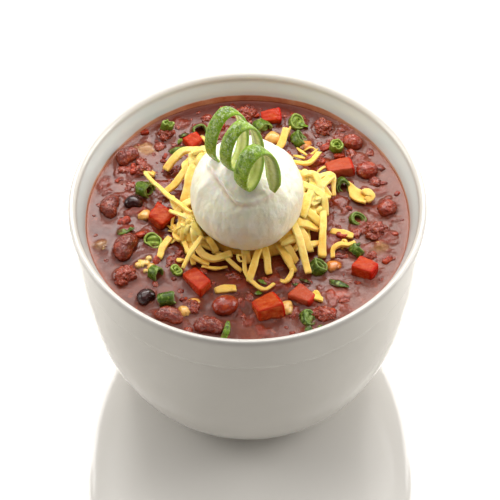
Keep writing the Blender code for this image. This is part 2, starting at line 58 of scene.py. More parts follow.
# The ball of sour cream and the spiral, as in the part's source.
CREAM_CENTRE = np.array([-0.4, -1.7, 119.0])
CREAM_RADIUS, CREAM_FLAT_Z = 24.5, 104.0
LOOP_START, LOOP_END = 268.0, -760.0
LOOP_CENTRE = np.array([-8.4, -1.5, 156.4])
LOOP_STEP = np.array([6.3, -8.8, 1.2])
LOOP_ARCH, LOOP_HALF_WIDTH, LOOP_HALF_HEIGHT = 3.3, 7.7, 14.9
LOOP_ACROSS = np.array([1.0, 1.0, 0.0]) / math.sqrt(2)
LOOP_FACING = np.array([1.0, -1.0, 0.0]) / math.sqrt(2)
PEEL_WIDTH, PEEL_THICKNESS = 5.8, 1.9

STRAND_WIDTH, STRAND_THICKNESS = 3.6, 2.0

# Cut cubes of tomato: x, y, width, depth, height, turn in degrees, rise over the chili.
TOMATOES = (
    (8, -51, 12.5, 9.5, 9, 24, 1.5),
    (50, -30, 10, 8, 8, -30, 1.2),
    (-38, 0, 9, 10, 8.5, 55, 1.4),
    (-22, -36, 8, 14, 7, 35, 1.2),
    (41, 28, 12, 8, 7, 15, 0.6),
    (23, -44, 11, 8, 6, -35, 0.2),
    (11, 59, 8, 6, 6, 10, 0.8),
    (-24, 45, 7, 6, 6, 40, 1.0),
)

SMALLER_TOMATOES, SMALLER = (2, 3), 0.92
SUNK_TOMATOES = (4, 5)
TOMATO_REDNESS = (0.05, 0.8, 0.25, 0.6, 0.45, 0.5, 0.9, 0.8)

# Beans: x, y, length, width, turn in degrees, rise over the chili, kind.
BEANS = (
    (-10, -49, 12, 9.5, 20, 1.6, "red"),
    (-53, -16, 15, 10, 65, 1.6, "kidney"),
    (-60, 8, 13, 8.5, 80, 0.8, "kidney"),
    (53, 27, 10, 8.5, 10, 1.2, "red"),
    (61, 5, 9.5, 8, 60, 0.8, "red"),
    (-34, -54, 13, 8, -20, 1.2, "kidney"),
    (-17, -60, 13.5, 8.5, -8, 1.2, "kidney"),
    (47, 44, 9.5, 8, -25, 0.8, "red"),
    (-53, 37, 12, 8.5, 40, 0.8, "kidney"),
    (29, 33, 9, 7, -15, 0.8, "red"),
    (-44, -44, 9, 7.2, 45, 1.8, "black"),
    (-50, 10, 8.5, 6.8, 0, 1.0, "black"),
)

# Lumps of meat: x, y, radius.
MEAT_LUMPS = (
    (-53, -31, 5.2), (56, -8, 5.0), (34, 53, 4.6), (32, -54, 4.8),
    (-36, 50, 3.8), (0, 62, 4.2), (-46, 29, 3.6), (-24, -49, 3.4),
)

# Spring onion slices: x, y, radius, height, tilt and turn in degrees, lightness.
ONION_RINGS = (
    (-45, 17, 3.6, 6.2, 72, 55, 0.45),
    (-41, -12, 3.8, 3, 20, 0, 0.75),
    (-35, -45, 3.4, 6.5, 80, 95, 0.20),
    (-36, 53.0, 2.3, 10.5, 14, 80, 0.60),
    (-21, 51, 3.6, 4, 40, 20, 0.25),
    (22, 56, 3.8, 4.5, 25, 60, 0.65),
    (23, 46, 3.6, 4.5, 50, 100, 0.30),
    (7, 54, 3.2, 5.5, 80, 30, 0.45),
    (48, -1, 3.4, 3, 30, 50, 0.35),
    (42, 18, 3.4, 4, 60, 10, 0.20),
    (-40, -31, 3.2, 4.5, 75, 50, 0.40),
    (25, -56, 3.6, 4, 35, 70, 0.20),
    (30, -28, 3.6, 5, 40, 110, 0.30),
    (47, -19, 3, 4, 60, 130, 0.30),
    (39.5, 40.5, 2.7, 11.0, 16, 20, 0.75),
    (-31, -29, 2.5, 4.2, 15, 20, 0.90),
)
ONION_WALL = 1.3

# Spring onion strips: x, y, length, turn in degrees, lift of one end, lightness.
ONION_STRIPS = (
    (-10, -63, 9, 75, 2.5, 0.60),
    (39, -37, 9, -25, 0.8, 0.10),
    (-54, -6, 6, 10, 0.5, 0.45),
    (25, -62, 7, 95, 0.6, 0.20),
    (-31, 41, 7, 20, 0.8, 0.40),
)

# Kernels of corn: x, y, turn in degrees, how orange, lift, size.
CORN = (
    (-45, 3, 60, 0.35, 0.2, 0.80), (12, 47, -30, 0.35, 0.4, 1.0), (-45, -24, 10, 0.0, -0.6, 0.75),
    (-45, 43, 0, 0.0, -1.5, 0.6), (-64, -13, 40, 0.0, -1.0, 0.45), (37, -27, 15, 0.9, -0.5, 0.95),
    (16, -50, 70, 0.3, 0.2, 1.0), (26, 43, 30, 0.8, -0.6, 0.9), (-27, -51, 0, 0.4, -0.4, 0.9),
    (57, -15, 20, 0.3, -0.2, 0.6), (-42, -26.5, 60, 0.15, 0.3, 0.5), (-43, -21.5, 80, 0.0, 0.3, 0.42),
    (-47.6, -25.5, 120, 0.05, 0.2, 0.45),
    (-44, -28.5, 0, 0.1, 0.2, 0.4), (-62.5, -15.5, 100, 0.0, 0.1, 0.3), (-23, -46, 30, 0.5, -0.3, 0.7),
)

# Bits of tomato and pepper skin, mostly sunk: x, y, half length, turn in degrees.
TOMATO_BITS = (
    (-49, 29, 2.6, 20), (-36.4, 38, 1.8, 60), (-46.6, -8.7, 2.4, 10), (-39.2, -21.6, 2.8, 70),
    (-34.4, 51.3, 2.6, 0), (-45.4, 52.3, 2.2, 30), (-50.4, 31.5, 2.0, 80), (32.1, 32.6, 2.8, 15),
    (41, 36.1, 2.6, 0), (60.4, -23.6, 2.6, 45), (34.4, -52, 3.2, -10), (35, 41.5, 3.0, 20),
    (44.2, 5.9, 1.8, 0), (-11.6, 54.6, 2.4, 40), (60.2, 20.6, 1.9, 0),
    (65.7, 14.4, 1.7, 50), (41.1, -9.8, 2.9, -15), (-54, 0.1, 3.4, 25), (-37, 35, 1.6, 0), (36, 45, 1.5, 80),
    (64, -9, 1.5, 10), (-28, -44, 1.8, 30), (4, 61, 1.8, 10), (18, 53, 1.5, 70), (-57, 24, 1.6, 60),
    (47, -36, 1.6, 0),
)

# Flakes of green leaf: x, y, length, width, turn in degrees, lightness.
GREEN_FLAKES = (
    (-50.9, -5.2, 2.8, 2.2, 30, 0.3), (6, -36, 4.5, 2.2, -30, 0.5), (4.3, -41.1, 3.5, 2.6, 10, 0.6),
    (24.4, -35.1, 5.5, 2.0, -25, 0.05), (-28, 50, 4.2, 2.6, 20, 0.15), (25.2, 54.8, 5.0, 2.6, -20, 0.8),
    (3.9, 53.1, 3.4, 2.2, 40, 0.5), (47.5, -15.5, 3.2, 2.0, 60, 0.2), (-29.9, 46.2, 3.6, 2.0, 70, 0.9),
    (20.5, -37, 2.6, 1.6, 10, 0.1), (30, -60, 2.6, 1.6, 40, 0.3), (-44, 22, 2.4, 1.4, 0, 0.4),
)

# Thin shreds and crumbs of cheese: points (x, y, height over the chili), width.
CHEESE_SHREDS = (
    (((22.2, 41.4, 0.8), (24, 38, 2.0), (27.5, 35.5, 1.2)), 1.3),
    (((29.2, 31.0, 1.0), (28, 35, 2.2), (31.5, 39.8, 1.6)), 1.2),
    (((20.5, 36.5, 1.0), (24, 34.5, 2.2), (28.6, 33.6, 1.2)), 1.5),
    (((25, 39.5, 0.8), (28.5, 40.6, 1.6), (32, 38.2, 0.8)), 1.1),
    (((13.6, -34.5, 0.8), (16.0, -36.3, 1.8), (18.4, -33.4, 3.0), (18.8, -30.6, 4.2)), 2.4),
    (((27, -43.5, 0.8), (29.2, -42.2, 2.0), (31, -45.4, 1.4)), 2.0),
    (((40.6, -17.8, 1.0), (42.6, -15.0, 2.4), (41.2, -13.6, 2.0), (40.4, -16.4, 1.2)), 1.2),
    (((-20.5, 49, 0.8), (-19.4, 47.2, 1.4), (-18.2, 44.4, 1.6)), 1.8),
    (((-31, -22.4, 0.9), (-29.2, -23.6, 1.4), (-27.6, -22.8, 1.0)), 2.2),
    (((-35.2, -3.4, 1.2), (-31.5, -7.6, 2.8), (-26.4, -9.2, 4.2)), 1.4),
    (((-34.5, -6.2, 1.0), (-30.0, -8.8, 2.2), (-27, -13.4, 2.6)), 1.1),
    (((-33.5, -13.5, 1.0), (-30.5, -12.0, 2.6), (-27.6, -15.8, 3.2)), 1.2),
    (((-1.5, -25.5, 3.4), (-3.6, -27.4, 5.0), (-4.6, -25.0, 6.2), (-2.4, -24.4, 5.2)), 1.2),
    (((-9, -27, 1.0), (-14.5, -28.6, 1.6), (-20, -27.4, 2.0)), 2.0),
    (((30, 24.5, 2.2), (33.5, 28.2, 2.6), (38, 29.6, 1.4)), 1.4),
    (((14, 45.5, 0.8), (17.6, 47.4, 2.2), (19.6, 51.6, 3.6)), 1.6),
)

# Loose strands of cheese on the chili: points (x, y, height over the chili), width.
LOOSE_STRANDS = (
    (((-49.5, 29.5, 0.6), (-45, 28, 1.4), (-40.8, 26, 0.9)), 3.2),
    (((36.3, -7.2, 0.6), (41, -9, 1.2), (45.8, -10.6, 1.0)), 3.4),
    (((44.4, 18.8, 3.0), (46.4, 14.2, 2.6), (49.0, 10.6, 2.4), (52.0, 9.0, 2.2)), 5.8),
    (((-38.5, -21.4, 0.8), (-36.8, -16, 1.2), (-33.8, -10.4, 1.2)), 3.4),
    (((-14.5, -40.5, 1.0), (-10, -39.6, 1.4), (-5.4, -39.2, 1.2)), 4.0),
    (((36.5, -22.5, 0.8), (37, -18.5, 1.8), (40, -16.5, 2.6), (43.5, -16.8, 2.4), (46.5, -15, 2.4)), 2.2),
    (((26.5, -42.5, 1.2), (29, -45.2, 1.8), (31.8, -46.2, 1.2)), 3.2),
    (((12.6, 40.0, 1.0), (15.6, 43.0, 2.0), (17.6, 49.8, 4.4)), 3.4),
    (((51.8, 8.2, 2.4), (54.4, 10.2, 3.4), (52.8, 12.4, 4.0), (50.6, 11.6, 3.6)), 3.8),
)
POINTED = 2  # the loose strand that is a broad flake with one pointed end

# The heap: mounds (middle x, y, height over the chili, half sizes) and strands as the points they pass.
MOUNDS = ((27, 9, 1, 9, 15, 9), (-18, 26, 1, 9, 9, 15), (-24, -9, 1, 7, 9, 9), (11, 29, 1, 10, 8, 6))
CORE = (3.0, 4.0, 27.0, 25.0, 105.0)  # middle x and y, radius at the foot and higher up, height of its top
HEAP_STRANDS = (
    ((-20, 28, 14), (-25, 16, 10), (-28, 6, 3)),
    ((-18, 29, 13), (-27, 34, 8), (-32, 32, 5), (-36, 28, 2)),
    ((-26, 25, 8), (-31, 18, 5), (-37, 14, 2)),
    ((-45, 22, 3.5), (-36, 9, 5), (-24, -5, 8)),
    ((-34, 0, 4), (-24, -9, 7)),
    ((-25, -4, 9), (-22, -19, 6), (-16, -25, 4), (-7, -22, 4)),
    ((-20, -17, 6), (-28, -31, 1.8)),
    ((-28, -14, 4), (-25, -22, 4), (-17, -27, 2.5)),
    ((-15, -20, 3), (-3, -30, 1.8)),
    ((-2, -17, 5), (0, -26, 2)),
    ((6, -18, 5), (0, -36, 1.8)),
    ((7, -19, 5), (9, -32, 1.8)),
    ((-2, -18, 5), (-1, -32, 3), (3, -38, 2), (7, -41, 2.5), (11, -38, 2.5)),
    ((14, -15, 6), (21, -26, 2.5)),
    ((13, -17, 4), (20, -31, 1.8)),
    ((19, -7, 8), (26, -33, 1.8)),
    ((22, -10, 6), (27, -20, 2)),
    ((33, 4, 6), (32, -23, 1.8)),
    ((26, 2, 9), (37, 18, 8)),
    ((24, 16, 12), (30, 15, 12), (33, 5, 9)),
    ((21, 13, 11), (32, 6, 10), (34, -2, 5)),
    ((23, -1, 10), (32, -7, 5)),
    ((21, -8, 8), (31, -9, 4)),
    ((27, 14, 9), (37, 20, 6), (38, 10, 3)),
    ((17, 29, 6), (25, 22, 5), (34, 20, 6)),
    ((20, 27, 5), (27, 28, 3), (32, 35, 2)),
    ((12, 30, 5), (19, 34, 3)),
    ((24, 20, 9), (36, 8, 6)),
    ((30, 20, 8), (27, 4, 11), (24, -6, 9)),
    ((-12, 28, 8), (-22, 38, 2.5)),
    ((2, 28, 6), (-4, 39, 2.5)),
    ((-25, -2, 8), (-29, -12, 5)),
)
# Which strands are thin or broad, and the narrowest and broadest strand on each mound.
THIN_STRANDS = (3, 4, 6, 7, 8, 12, 23, 24, 25, 26)
BROAD_STRANDS, BROADER = (0, 18, 22, 27), 1.35
MOUND_WIDTHS = ((3.4, 6.4), (2.6, 4.4), (1.6, 3.4), (1.6, 3.2))
STRANDS_ON_MOUNDS, STRANDS_ROUND_HEAP = 21, 60
CRUMBS_ALL_ROUND, CRUMBS_AT_BACK = 150, 120

# Things sunk under the surface, that only lift and tint it: x, y, half length, half width, turn in degrees,
# lift, kind.
SUNK = (
    (38, -41, 5.5, 3.8, -20, 0.5, "tomato"),
    (31, 32, 6.5, 4.2, 10, 0.8, "tomato"),
    (-45, 42, 5.0, 3.4, 0, 0.25, "corn"),
    (-64, -13, 3.4, 2.6, 40, 0.25, "corn"),
    (57, -17, 3.4, 2.6, 10, 0.7, "corn"),
    (-50, 29, 4.5, 3.5, 30, 0.8, "meat"),
    (-63, 22, 4.5, 3.0, 70, 0.6, "meat"),
    (-43, -6, 4.5, 3.0, 20, 0.9, "meat"),
    (49, 36, 4.5, 3.0, -30, 0.8, "meat"),
    (59, 16, 4.0, 2.6, 30, 0.7, "meat"),
    (36, 11, 5.0, 3.0, 0, 0.8, "tomato"),
    (60, -22, 3.6, 2.4, 30, 0.4, "meat"),
    (45, 53, 4.0, 3.0, 10, 0.8, "meat"),
    (-30, 57, 5.0, 3.0, 0, 0.9, "meat"),
    (10, -36, 6.0, 4.5, 40, 1.0, "meat"),
    (-4, -36, 5.0, 4.0, 10, 1.0, "meat"),
    (0, -56, 4.0, 2.6, 30, 0.4, "meat"),
    (-47, -9, 5.0, 2.6, 30, 1.0, "meat"),
    (41, -50, 4.0, 2.6, -40, 0.5, "meat"),
)


def smooth_noise(points, size, seed=0):
    """Smooth noise between -1 and 1 at points in mm, its hills about size mm apart."""
    q = np.asarray(points, float) / size
    base = np.floor(q).astype(np.int64)
    f = q - base
    f = f * f * f * (f * (f * 6 - 15) + 10)
    total = np.zeros(q.shape[:-1])
    for corner in range(8):
        step = np.array([corner & 1, corner >> 1 & 1, corner >> 2])
        cell = base + step
        h = (cell[..., 0] * 73856093) ^ (cell[..., 1] * 19349663) ^ (cell[..., 2] * 83492791)
        h = (h ^ (seed * 2654435761)) & 0xFFFFFFFF
        h = ((h ^ (h >> 13)) * 1274126177) & 0xFFFFFFFF
        h = h ^ (h >> 16)
        value = (h & 0xFFFF) / 32767.5 - 1
        weight = np.prod(np.where(step, f, 1 - f), axis=-1)
        total += value * weight
    return total


def rough_noise(points, size, seed=0, octaves=3):
    """Several sizes of smooth noise on top of each other."""
    points = np.asarray(points, float)
    return sum(
        0.5**o * smooth_noise(points + 31.7 * o, size / 2**o, seed + 17 * o) for o in range(octaves)
    )


def blend(low, high, value):
    """0 below low and 1 above high, with a soft rise between."""
    t = np.clip((np.asarray(value, float) - low) / (high - low), 0, 1)
    return t * t * (3 - 2 * t)


class Batch:
    """Gathers the points and faces of many small things that become one piece, with marks for each point."""

    def __init__(self):
        self.places, self.faces, self.marks, self.count = [], [], {}, 0

    def add(self, places, faces, **marks):
        places = np.asarray(places, float).reshape(-1, 3)
        self.places.append(places)
        self.faces += [[i + self.count for i in face] for face in faces]
        for name in set(marks) | set(self.marks):
            rows = self.marks.setdefault(name, [np.zeros(self.count)] if self.count else [])
            value = marks.get(name, 0.0)
            rows.append(np.broadcast_to(np.asarray(value, float), (len(places),)).copy())
        self.count += len(places)

    def piece(self, name, material, replaces=()):
        mesh = bpy.data.meshes.new(name)
        mesh.from_pydata((np.concatenate(self.places) * MM).tolist(), [], self.faces)
        for mark, rows in self.marks.items():
            mesh.attributes.new(mark, "FLOAT", "POINT").data.foreach_set("value", np.concatenate(rows))
        shape = bmesh.new()
        shape.from_mesh(mesh)
        bmesh.ops.recalc_face_normals(shape, faces=shape.faces[:])
        shape.to_mesh(mesh)
        shape.free()
        mesh.shade_smooth()
        mesh.materials.append(material)
        made = bpy.data.objects.new(name, mesh)
        bpy.context.scene.collection.objects.link(made)
        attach(made, BODY)
        if replaces:
            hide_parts(*replaces)
        return made


def tube_faces(rows, sides, closed=True):
    """The faces of rows of points, each a closed ring of sides points, with two extra points for the ends."""
    faces = []
    for r in range(rows - 1):
        for k in range(sides):
            j = (k + 1) % sides
            faces.append((r * sides + k, r * sides + j, (r + 1) * sides + j, (r + 1) * sides + k))
    if closed:
        first, last = rows * sides, rows * sides + 1
        for k in range(sides):
            j = (k + 1) % sides
            faces.append((first, j, k))
            faces.append((last, (rows - 1) * sides + k, (rows - 1) * sides + j))
    return faces


def smooth_line(points, spacing):
    """Places along a smooth curve through the points, about spacing apart."""
    points = [np.asarray(p, float) for p in points]
    if len(points) == 2:
        middle = (points[0] + points[1]) / 2
        middle[2] += 0.08 * np.linalg.norm(points[1] - points[0])
        points = [points[0], middle, points[1]]
    padded = [2 * points[0] - points[1], *points, 2 * points[-1] - points[-2]]
    places = []
    for part in range(len(points) - 1):
        a, b, c, d = padded[part : part + 4]
        steps = max(2, round(np.linalg.norm(c - b) / spacing))
        for k in range(steps):
            t = k / steps
            bend, twist = 2 * a - 5 * b + 4 * c - d, 3 * b - a - 3 * c + d
            places.append(0.5 * (2 * b + (c - a) * t + bend * t**2 + twist * t**3))
    places.append(points[-1])
    return np.array(places)


def unit(v):
    return v / np.maximum(np.linalg.norm(v, axis=-1, keepdims=True), 1e-9)


def spun(points, radians, place=(0.0, 0.0, 0.0)):
    """The points turned about Z and moved to a place."""
    c, s = math.cos(radians), math.sin(radians)
    x, y = points[:, 0] * c - points[:, 1] * s, points[:, 0] * s + points[:, 1] * c
    return np.stack([x, y, points[:, 2]], axis=1) + place


def posed(points, turn, axis, tip, place):
    """The points tipped about an axis by tip radians, turned about Z by turn degrees, then moved."""
    pose = Matrix.Rotation(math.radians(turn), 3, "Z") @ Matrix.Rotation(tip, 3, axis)
    return points @ np.array(pose).T + place


def strip(
    points, width, thickness, seed, twist=0.0, sides=16, power=5.0, grain=0.08, spacing=0.75, ends=(1.0, 1.0)
):
    """A strand with a nearly square section, grooves and torn ends: its points, faces and edge marks."""
    line = smooth_line(points, spacing)
    rows = len(line)
    run = np.arange(rows) * spacing
    key = np.stack([run, np.full(rows, seed * 7.3), np.zeros(rows)], axis=1)
    inner = np.minimum(1.0, np.minimum(np.arange(rows), np.arange(rows)[::-1]) / 3.0)
    for axis in range(3):
        line[:, axis] += 0.25 * inner * smooth_noise(key, 6.0, 40 + axis)
    along = unit(np.gradient(line, axis=0))
    side = unit(np.cross(along, [0, 0, 1.0]))
    for row in range(1, rows):
        if side[row] @ side[row - 1] < 0:
            side[row] = -side[row]
    up = np.cross(side, along)
    turn = twist * (run / max(run[-1], 1e-6) - 0.5) + 0.18 * smooth_noise(key, 8.0, 50)
    c, s = np.cos(turn)[:, None], np.sin(turn)[:, None]
    side, up = side * c + up * s, up * c - side * s
    angles = np.arange(sides) * TAU / sides + TAU / sides / 2
    x = np.sign(np.cos(angles)) * np.abs(np.cos(angles)) ** (2 / power)
    y = np.sign(np.sin(angles)) * np.abs(np.sin(angles)) ** (2 / power)
    share = run / max(run[-1], 1e-6)
    taper = np.interp(share, [0, 0.5, 1], [ends[0], 1.0, ends[1]])
    wide = width / 2 * taper * (1 + 0.12 * smooth_noise(key, 4.0, 60))
    thick = thickness / 2 * taper * (1 + 0.16 * smooth_noise(key, 3.0, 70))
    close = np.ones(rows)
    close[[0, -1]] = 0.88
    across = x[None, :] * (wide * close)[:, None]
    tall = y[None, :] * (thick * close)[:, None]
    place = np.stack([np.broadcast_to(run[:, None] * 0.16, across.shape) + seed * 3.1, across, tall], axis=-1)
    groove = grain * (smooth_noise(place, 0.75, 5) + 0.5 * smooth_noise(place * [5, 1, 1], 0.6, 6))
    out = x[None, :, None] * side[:, None, :] + y[None, :, None] * up[:, None, :]
    ring = line[:, None, :] + side[:, None, :] * across[..., None] + up[:, None, :] * tall[..., None]
    ring += unit(out) * groove[..., None]
    slant = 0.22 * width * math.sin(seed * 2.1)
    torn = 0.35 * smooth_noise(place[[0, -1]] * [1, 2, 2] + seed, 1.0, 8)
    ring[0] += along[0] * (across[0] / width * 2 * slant + torn[0])[:, None]
    ring[-1] += along[-1] * (across[-1] / width * 2 * slant * math.cos(seed) + torn[1])[:, None]
    tips = np.stack([ring[0].mean(0) - along[0] * 0.1, ring[-1].mean(0) + along[-1] * 0.1])
    edge = np.broadcast_to(blend(0.75, 1.0, np.abs(x) * 0.7 + np.abs(y) * 0.45), (rows, sides)).copy()
    edge[[0, -1]] = 1.0
    places = np.concatenate([ring.reshape(-1, 3), tips])
    return places, tube_faces(rows, sides), np.concatenate([edge.ravel(), [1.0, 1.0]])


# Materials.
def new_material(name):
    made = bpy.data.materials.new(name)
    made.use_nodes = True
    return made, made.node_tree, made.node_tree.nodes["Principled BSDF"]


class Nodes:
    """Short ways to add the shader nodes that the materials share."""

    def __init__(self, tree):
        self.tree, self.new, self.link = tree, tree.nodes.new, tree.links.new
        self.where = self.new("ShaderNodeTexCoord").outputs["Object"]

    def noise(self, per_mm, detail=3.0, rough=0.5, offset=0.0, stretch=None):
        """Noise with per_mm hills in each mm."""
        node = self.new("ShaderNodeTexNoise")
        node.inputs["Scale"].default_value = per_mm / MM
        node.inputs["Detail"].default_value = detail
        node.inputs["Roughness"].default_value = rough
        mapping = self.new("ShaderNodeMapping")
        mapping.inputs["Location"].default_value = (offset, offset * 0.7, offset * 1.3)
        if stretch:
            mapping.inputs["Scale"].default_value = stretch
        self.link(self.where, mapping.inputs["Vector"])
        self.link(mapping.outputs["Vector"], node.inputs["Vector"])
        return node.outputs["Fac"]

    def cells(self, per_mm, offset=0.0):
        node = self.new("ShaderNodeTexVoronoi")
        node.feature = "SMOOTH_F1"
        node.inputs["Scale"].default_value = per_mm / MM
        mapping = self.new("ShaderNodeMapping")
        mapping.inputs["Location"].default_value = (offset, offset, offset)
        self.link(self.where, mapping.inputs["Vector"])
        self.link(mapping.outputs["Vector"], node.inputs["Vector"])
        return node.outputs["Distance"]

    def ramp(self, value, *stops):
        node = self.new("ShaderNodeValToRGB")
        band = node.color_ramp
        while len(band.elements) < len(stops):
            band.elements.new(0.5)
        for element, (at, colour) in zip(band.elements, sorted(stops, key=lambda s: s[0])):
            element.position = at
            element.color = (*colour, 1.0) if len(colour) == 3 else colour
        self.link(value, node.inputs["Fac"])
        return node.outputs["Color"]

    def span(self, value, low, high, to_low=0.0, to_high=1.0, soft=True):
        node = self.new("ShaderNodeMapRange")
        node.interpolation_type = "SMOOTHSTEP" if soft else "LINEAR"
        for name, number in (("From Min", low), ("From Max", high), ("To Min", to_low), ("To Max", to_high)):
            node.inputs[name].default_value = number
        self.link(value, node.inputs["Value"])
        return node.outputs["Result"]

    def mark(self, name):
        node = self.new("ShaderNodeAttribute")
        node.attribute_name = name
        return node.outputs["Fac"]

    def mix(self, factor, a, b):
        node = self.new("ShaderNodeMix")
        node.data_type = "RGBA"
        for socket, value in ((node.inputs[0], factor), (node.inputs[6], a), (node.inputs[7], b)):
            if isinstance(value, (int, float)):
                socket.default_value = value
            elif isinstance(value, tuple):
                socket.default_value = (*value, 1.0)
            else:
                self.link(value, socket)
        return node.outputs[2]

    def math(self, kind, a, b=0.0):
        node = self.new("ShaderNodeMath")
        node.operation = kind
        for socket, value in ((node.inputs[0], a), (node.inputs[1], b)):
            if isinstance(value, (int, float)):
                socket.default_value = value
            else:
                self.link(value, socket)
        return node.outputs["Value"]

    def tint(self, colour, mark, share, other):
        """The colour mixed towards another where a mark is set."""
        return self.mix(self.math("MULTIPLY", self.mark(mark), share), colour, other)

    def patches(self, colour, noise, low, high, share, other):
        """The colour with patches of another, where a noise rises from low to high."""
        return self.mix(self.span(noise, low, high, 0.0, share), colour, other)

    def along(self, axis):
        """Where a point lies along X, Y or Z, in metres."""
        split = self.new("ShaderNodeSeparateXYZ")
        self.link(self.where, split.inputs[0])
        return split.outputs[axis]

    def height(self):
        """How high a point is over the floor, in mm."""
        return self.math("MULTIPLY", self.along("Z"), 1 / MM)

    def bump(self, value, strength, depth_mm, under=None):
        node = self.new("ShaderNodeBump")
        node.inputs["Strength"].default_value = strength
        node.inputs["Distance"].default_value = depth_mm * MM
        self.link(value, node.inputs["Height"])
        if under is not None:
            self.link(under, node.inputs["Normal"])
        return node.outputs["Normal"]


def rgb(*display):
    """A colour given in display values from 0 to 255, as the linear numbers that shaders use."""
    shares = [value / 255 for value in display]
    return tuple(c / 12.92 if c <= 0.04045 else ((c + 0.055) / 1.055) ** 2.4 for c in shares)


SAUCE_DARK, SAUCE_OIL = rgb(92, 32, 22), rgb(168, 74, 34)


def sauce_stain(n, colour, low, high, seed=0.0, strength=1.0):
    """Sauce that clings to the lower part of a piece, between two heights over the floor in mm."""
    uneven = n.span(n.noise(0.35, 3, offset=seed), 0.3, 0.7, -1.6, 1.6, soft=False)
    share = n.math("MULTIPLY", n.span(n.math("ADD", n.height(), uneven), low, high, 1.0, 0.0), strength)
    return n.mix(share, colour, SAUCE_DARK)


def porcelain():
    """White glaze, with painted shade on the inner wall and the lip, and a film of oil on the inner wall over
    the chili, higher at the back.
    """
    made, tree, shader = new_material("white_porcelain")
    n = Nodes(tree)
    x, y, z = n.along("X"), n.along("Y"), n.height()
    radius = n.math("SQRT", n.math("ADD", n.math("POWER", x, 2.0), n.math("POWER", y, 2.0)))
    body = n.ramp(n.noise(0.02, 3), (0.3, rgb(222, 219, 212)), (0.7, rgb(228, 225, 218)))
    body = n.patches(body, n.noise(1.3, 2, offset=3.0), 0.68, 0.78, 0.12, rgb(200, 190, 176))
    # Painted shade: the inner wall over the chili is tinted a cooler, darker grey, which also cancels red
    # light bounced from the sauce.
    wall = n.math("MULTIPLY", n.span(radius, 0.0740, 0.0755, 1.0, 0.0), n.span(z, 90.0, 95.0))
    body = n.mix(wall, body, rgb(212, 219, 218))
    # Painted shade: the outer part of the lip's top is dulled to a darker grey.
    lip = n.math("MULTIPLY", n.span(z, 107.0, 110.0), n.span(radius, 0.0748, 0.0768))
    body = n.mix(lip, body, rgb(208, 204, 198))
    edge = n.span(n.noise(0.05, 4, 0.6, offset=1.0), 0.3, 0.7, -0.35, 0.35, soft=False)
    level = n.math("SUBTRACT", n.math("ADD", z, edge), n.span(y, 0.042, 0.068, 0.0, 1.35))
    film = n.math("MULTIPLY", n.span(level, 100.2, 100.9, 1.0, 0.0), n.span(z, 94.0, 95.0))
    film = n.math("MULTIPLY", film, n.span(radius, 0.0735, 0.0742, 1.0, 0.0))
    oil = n.ramp(
        n.noise(0.12, 4, 0.6, offset=5.0),
        (0.3, rgb(182, 108, 76)), (0.55, rgb(200, 130, 96)), (0.75, rgb(218, 158, 124)),
    )
    sideways = n.span(n.math("ABSOLUTE", x), 0.020, 0.062)
    oil = n.mix(n.math("MULTIPLY", sideways, 0.6), oil, rgb(222, 176, 144))
    oil = n.mix(n.span(level, 100.1, 100.8), oil, rgb(226, 190, 162))
    n.link(n.mix(film, body, oil), shader.inputs["Base Color"])
    n.link(n.span(n.noise(0.03, 2, offset=2.0), 0.3, 0.7, 0.10, 0.17), shader.inputs["Roughness"])
    shader.inputs["IOR"].default_value = 1.5
    shader.inputs["Coat Weight"].default_value = 0.25
    shader.inputs["Coat Roughness"].default_value = 0.05
    fine = n.bump(n.noise(0.6, 2, offset=4.0), 0.04, 0.1)
    n.link(n.bump(n.noise(0.05, 2), 0.12, 0.6, fine), shader.inputs["Normal"])
    return made


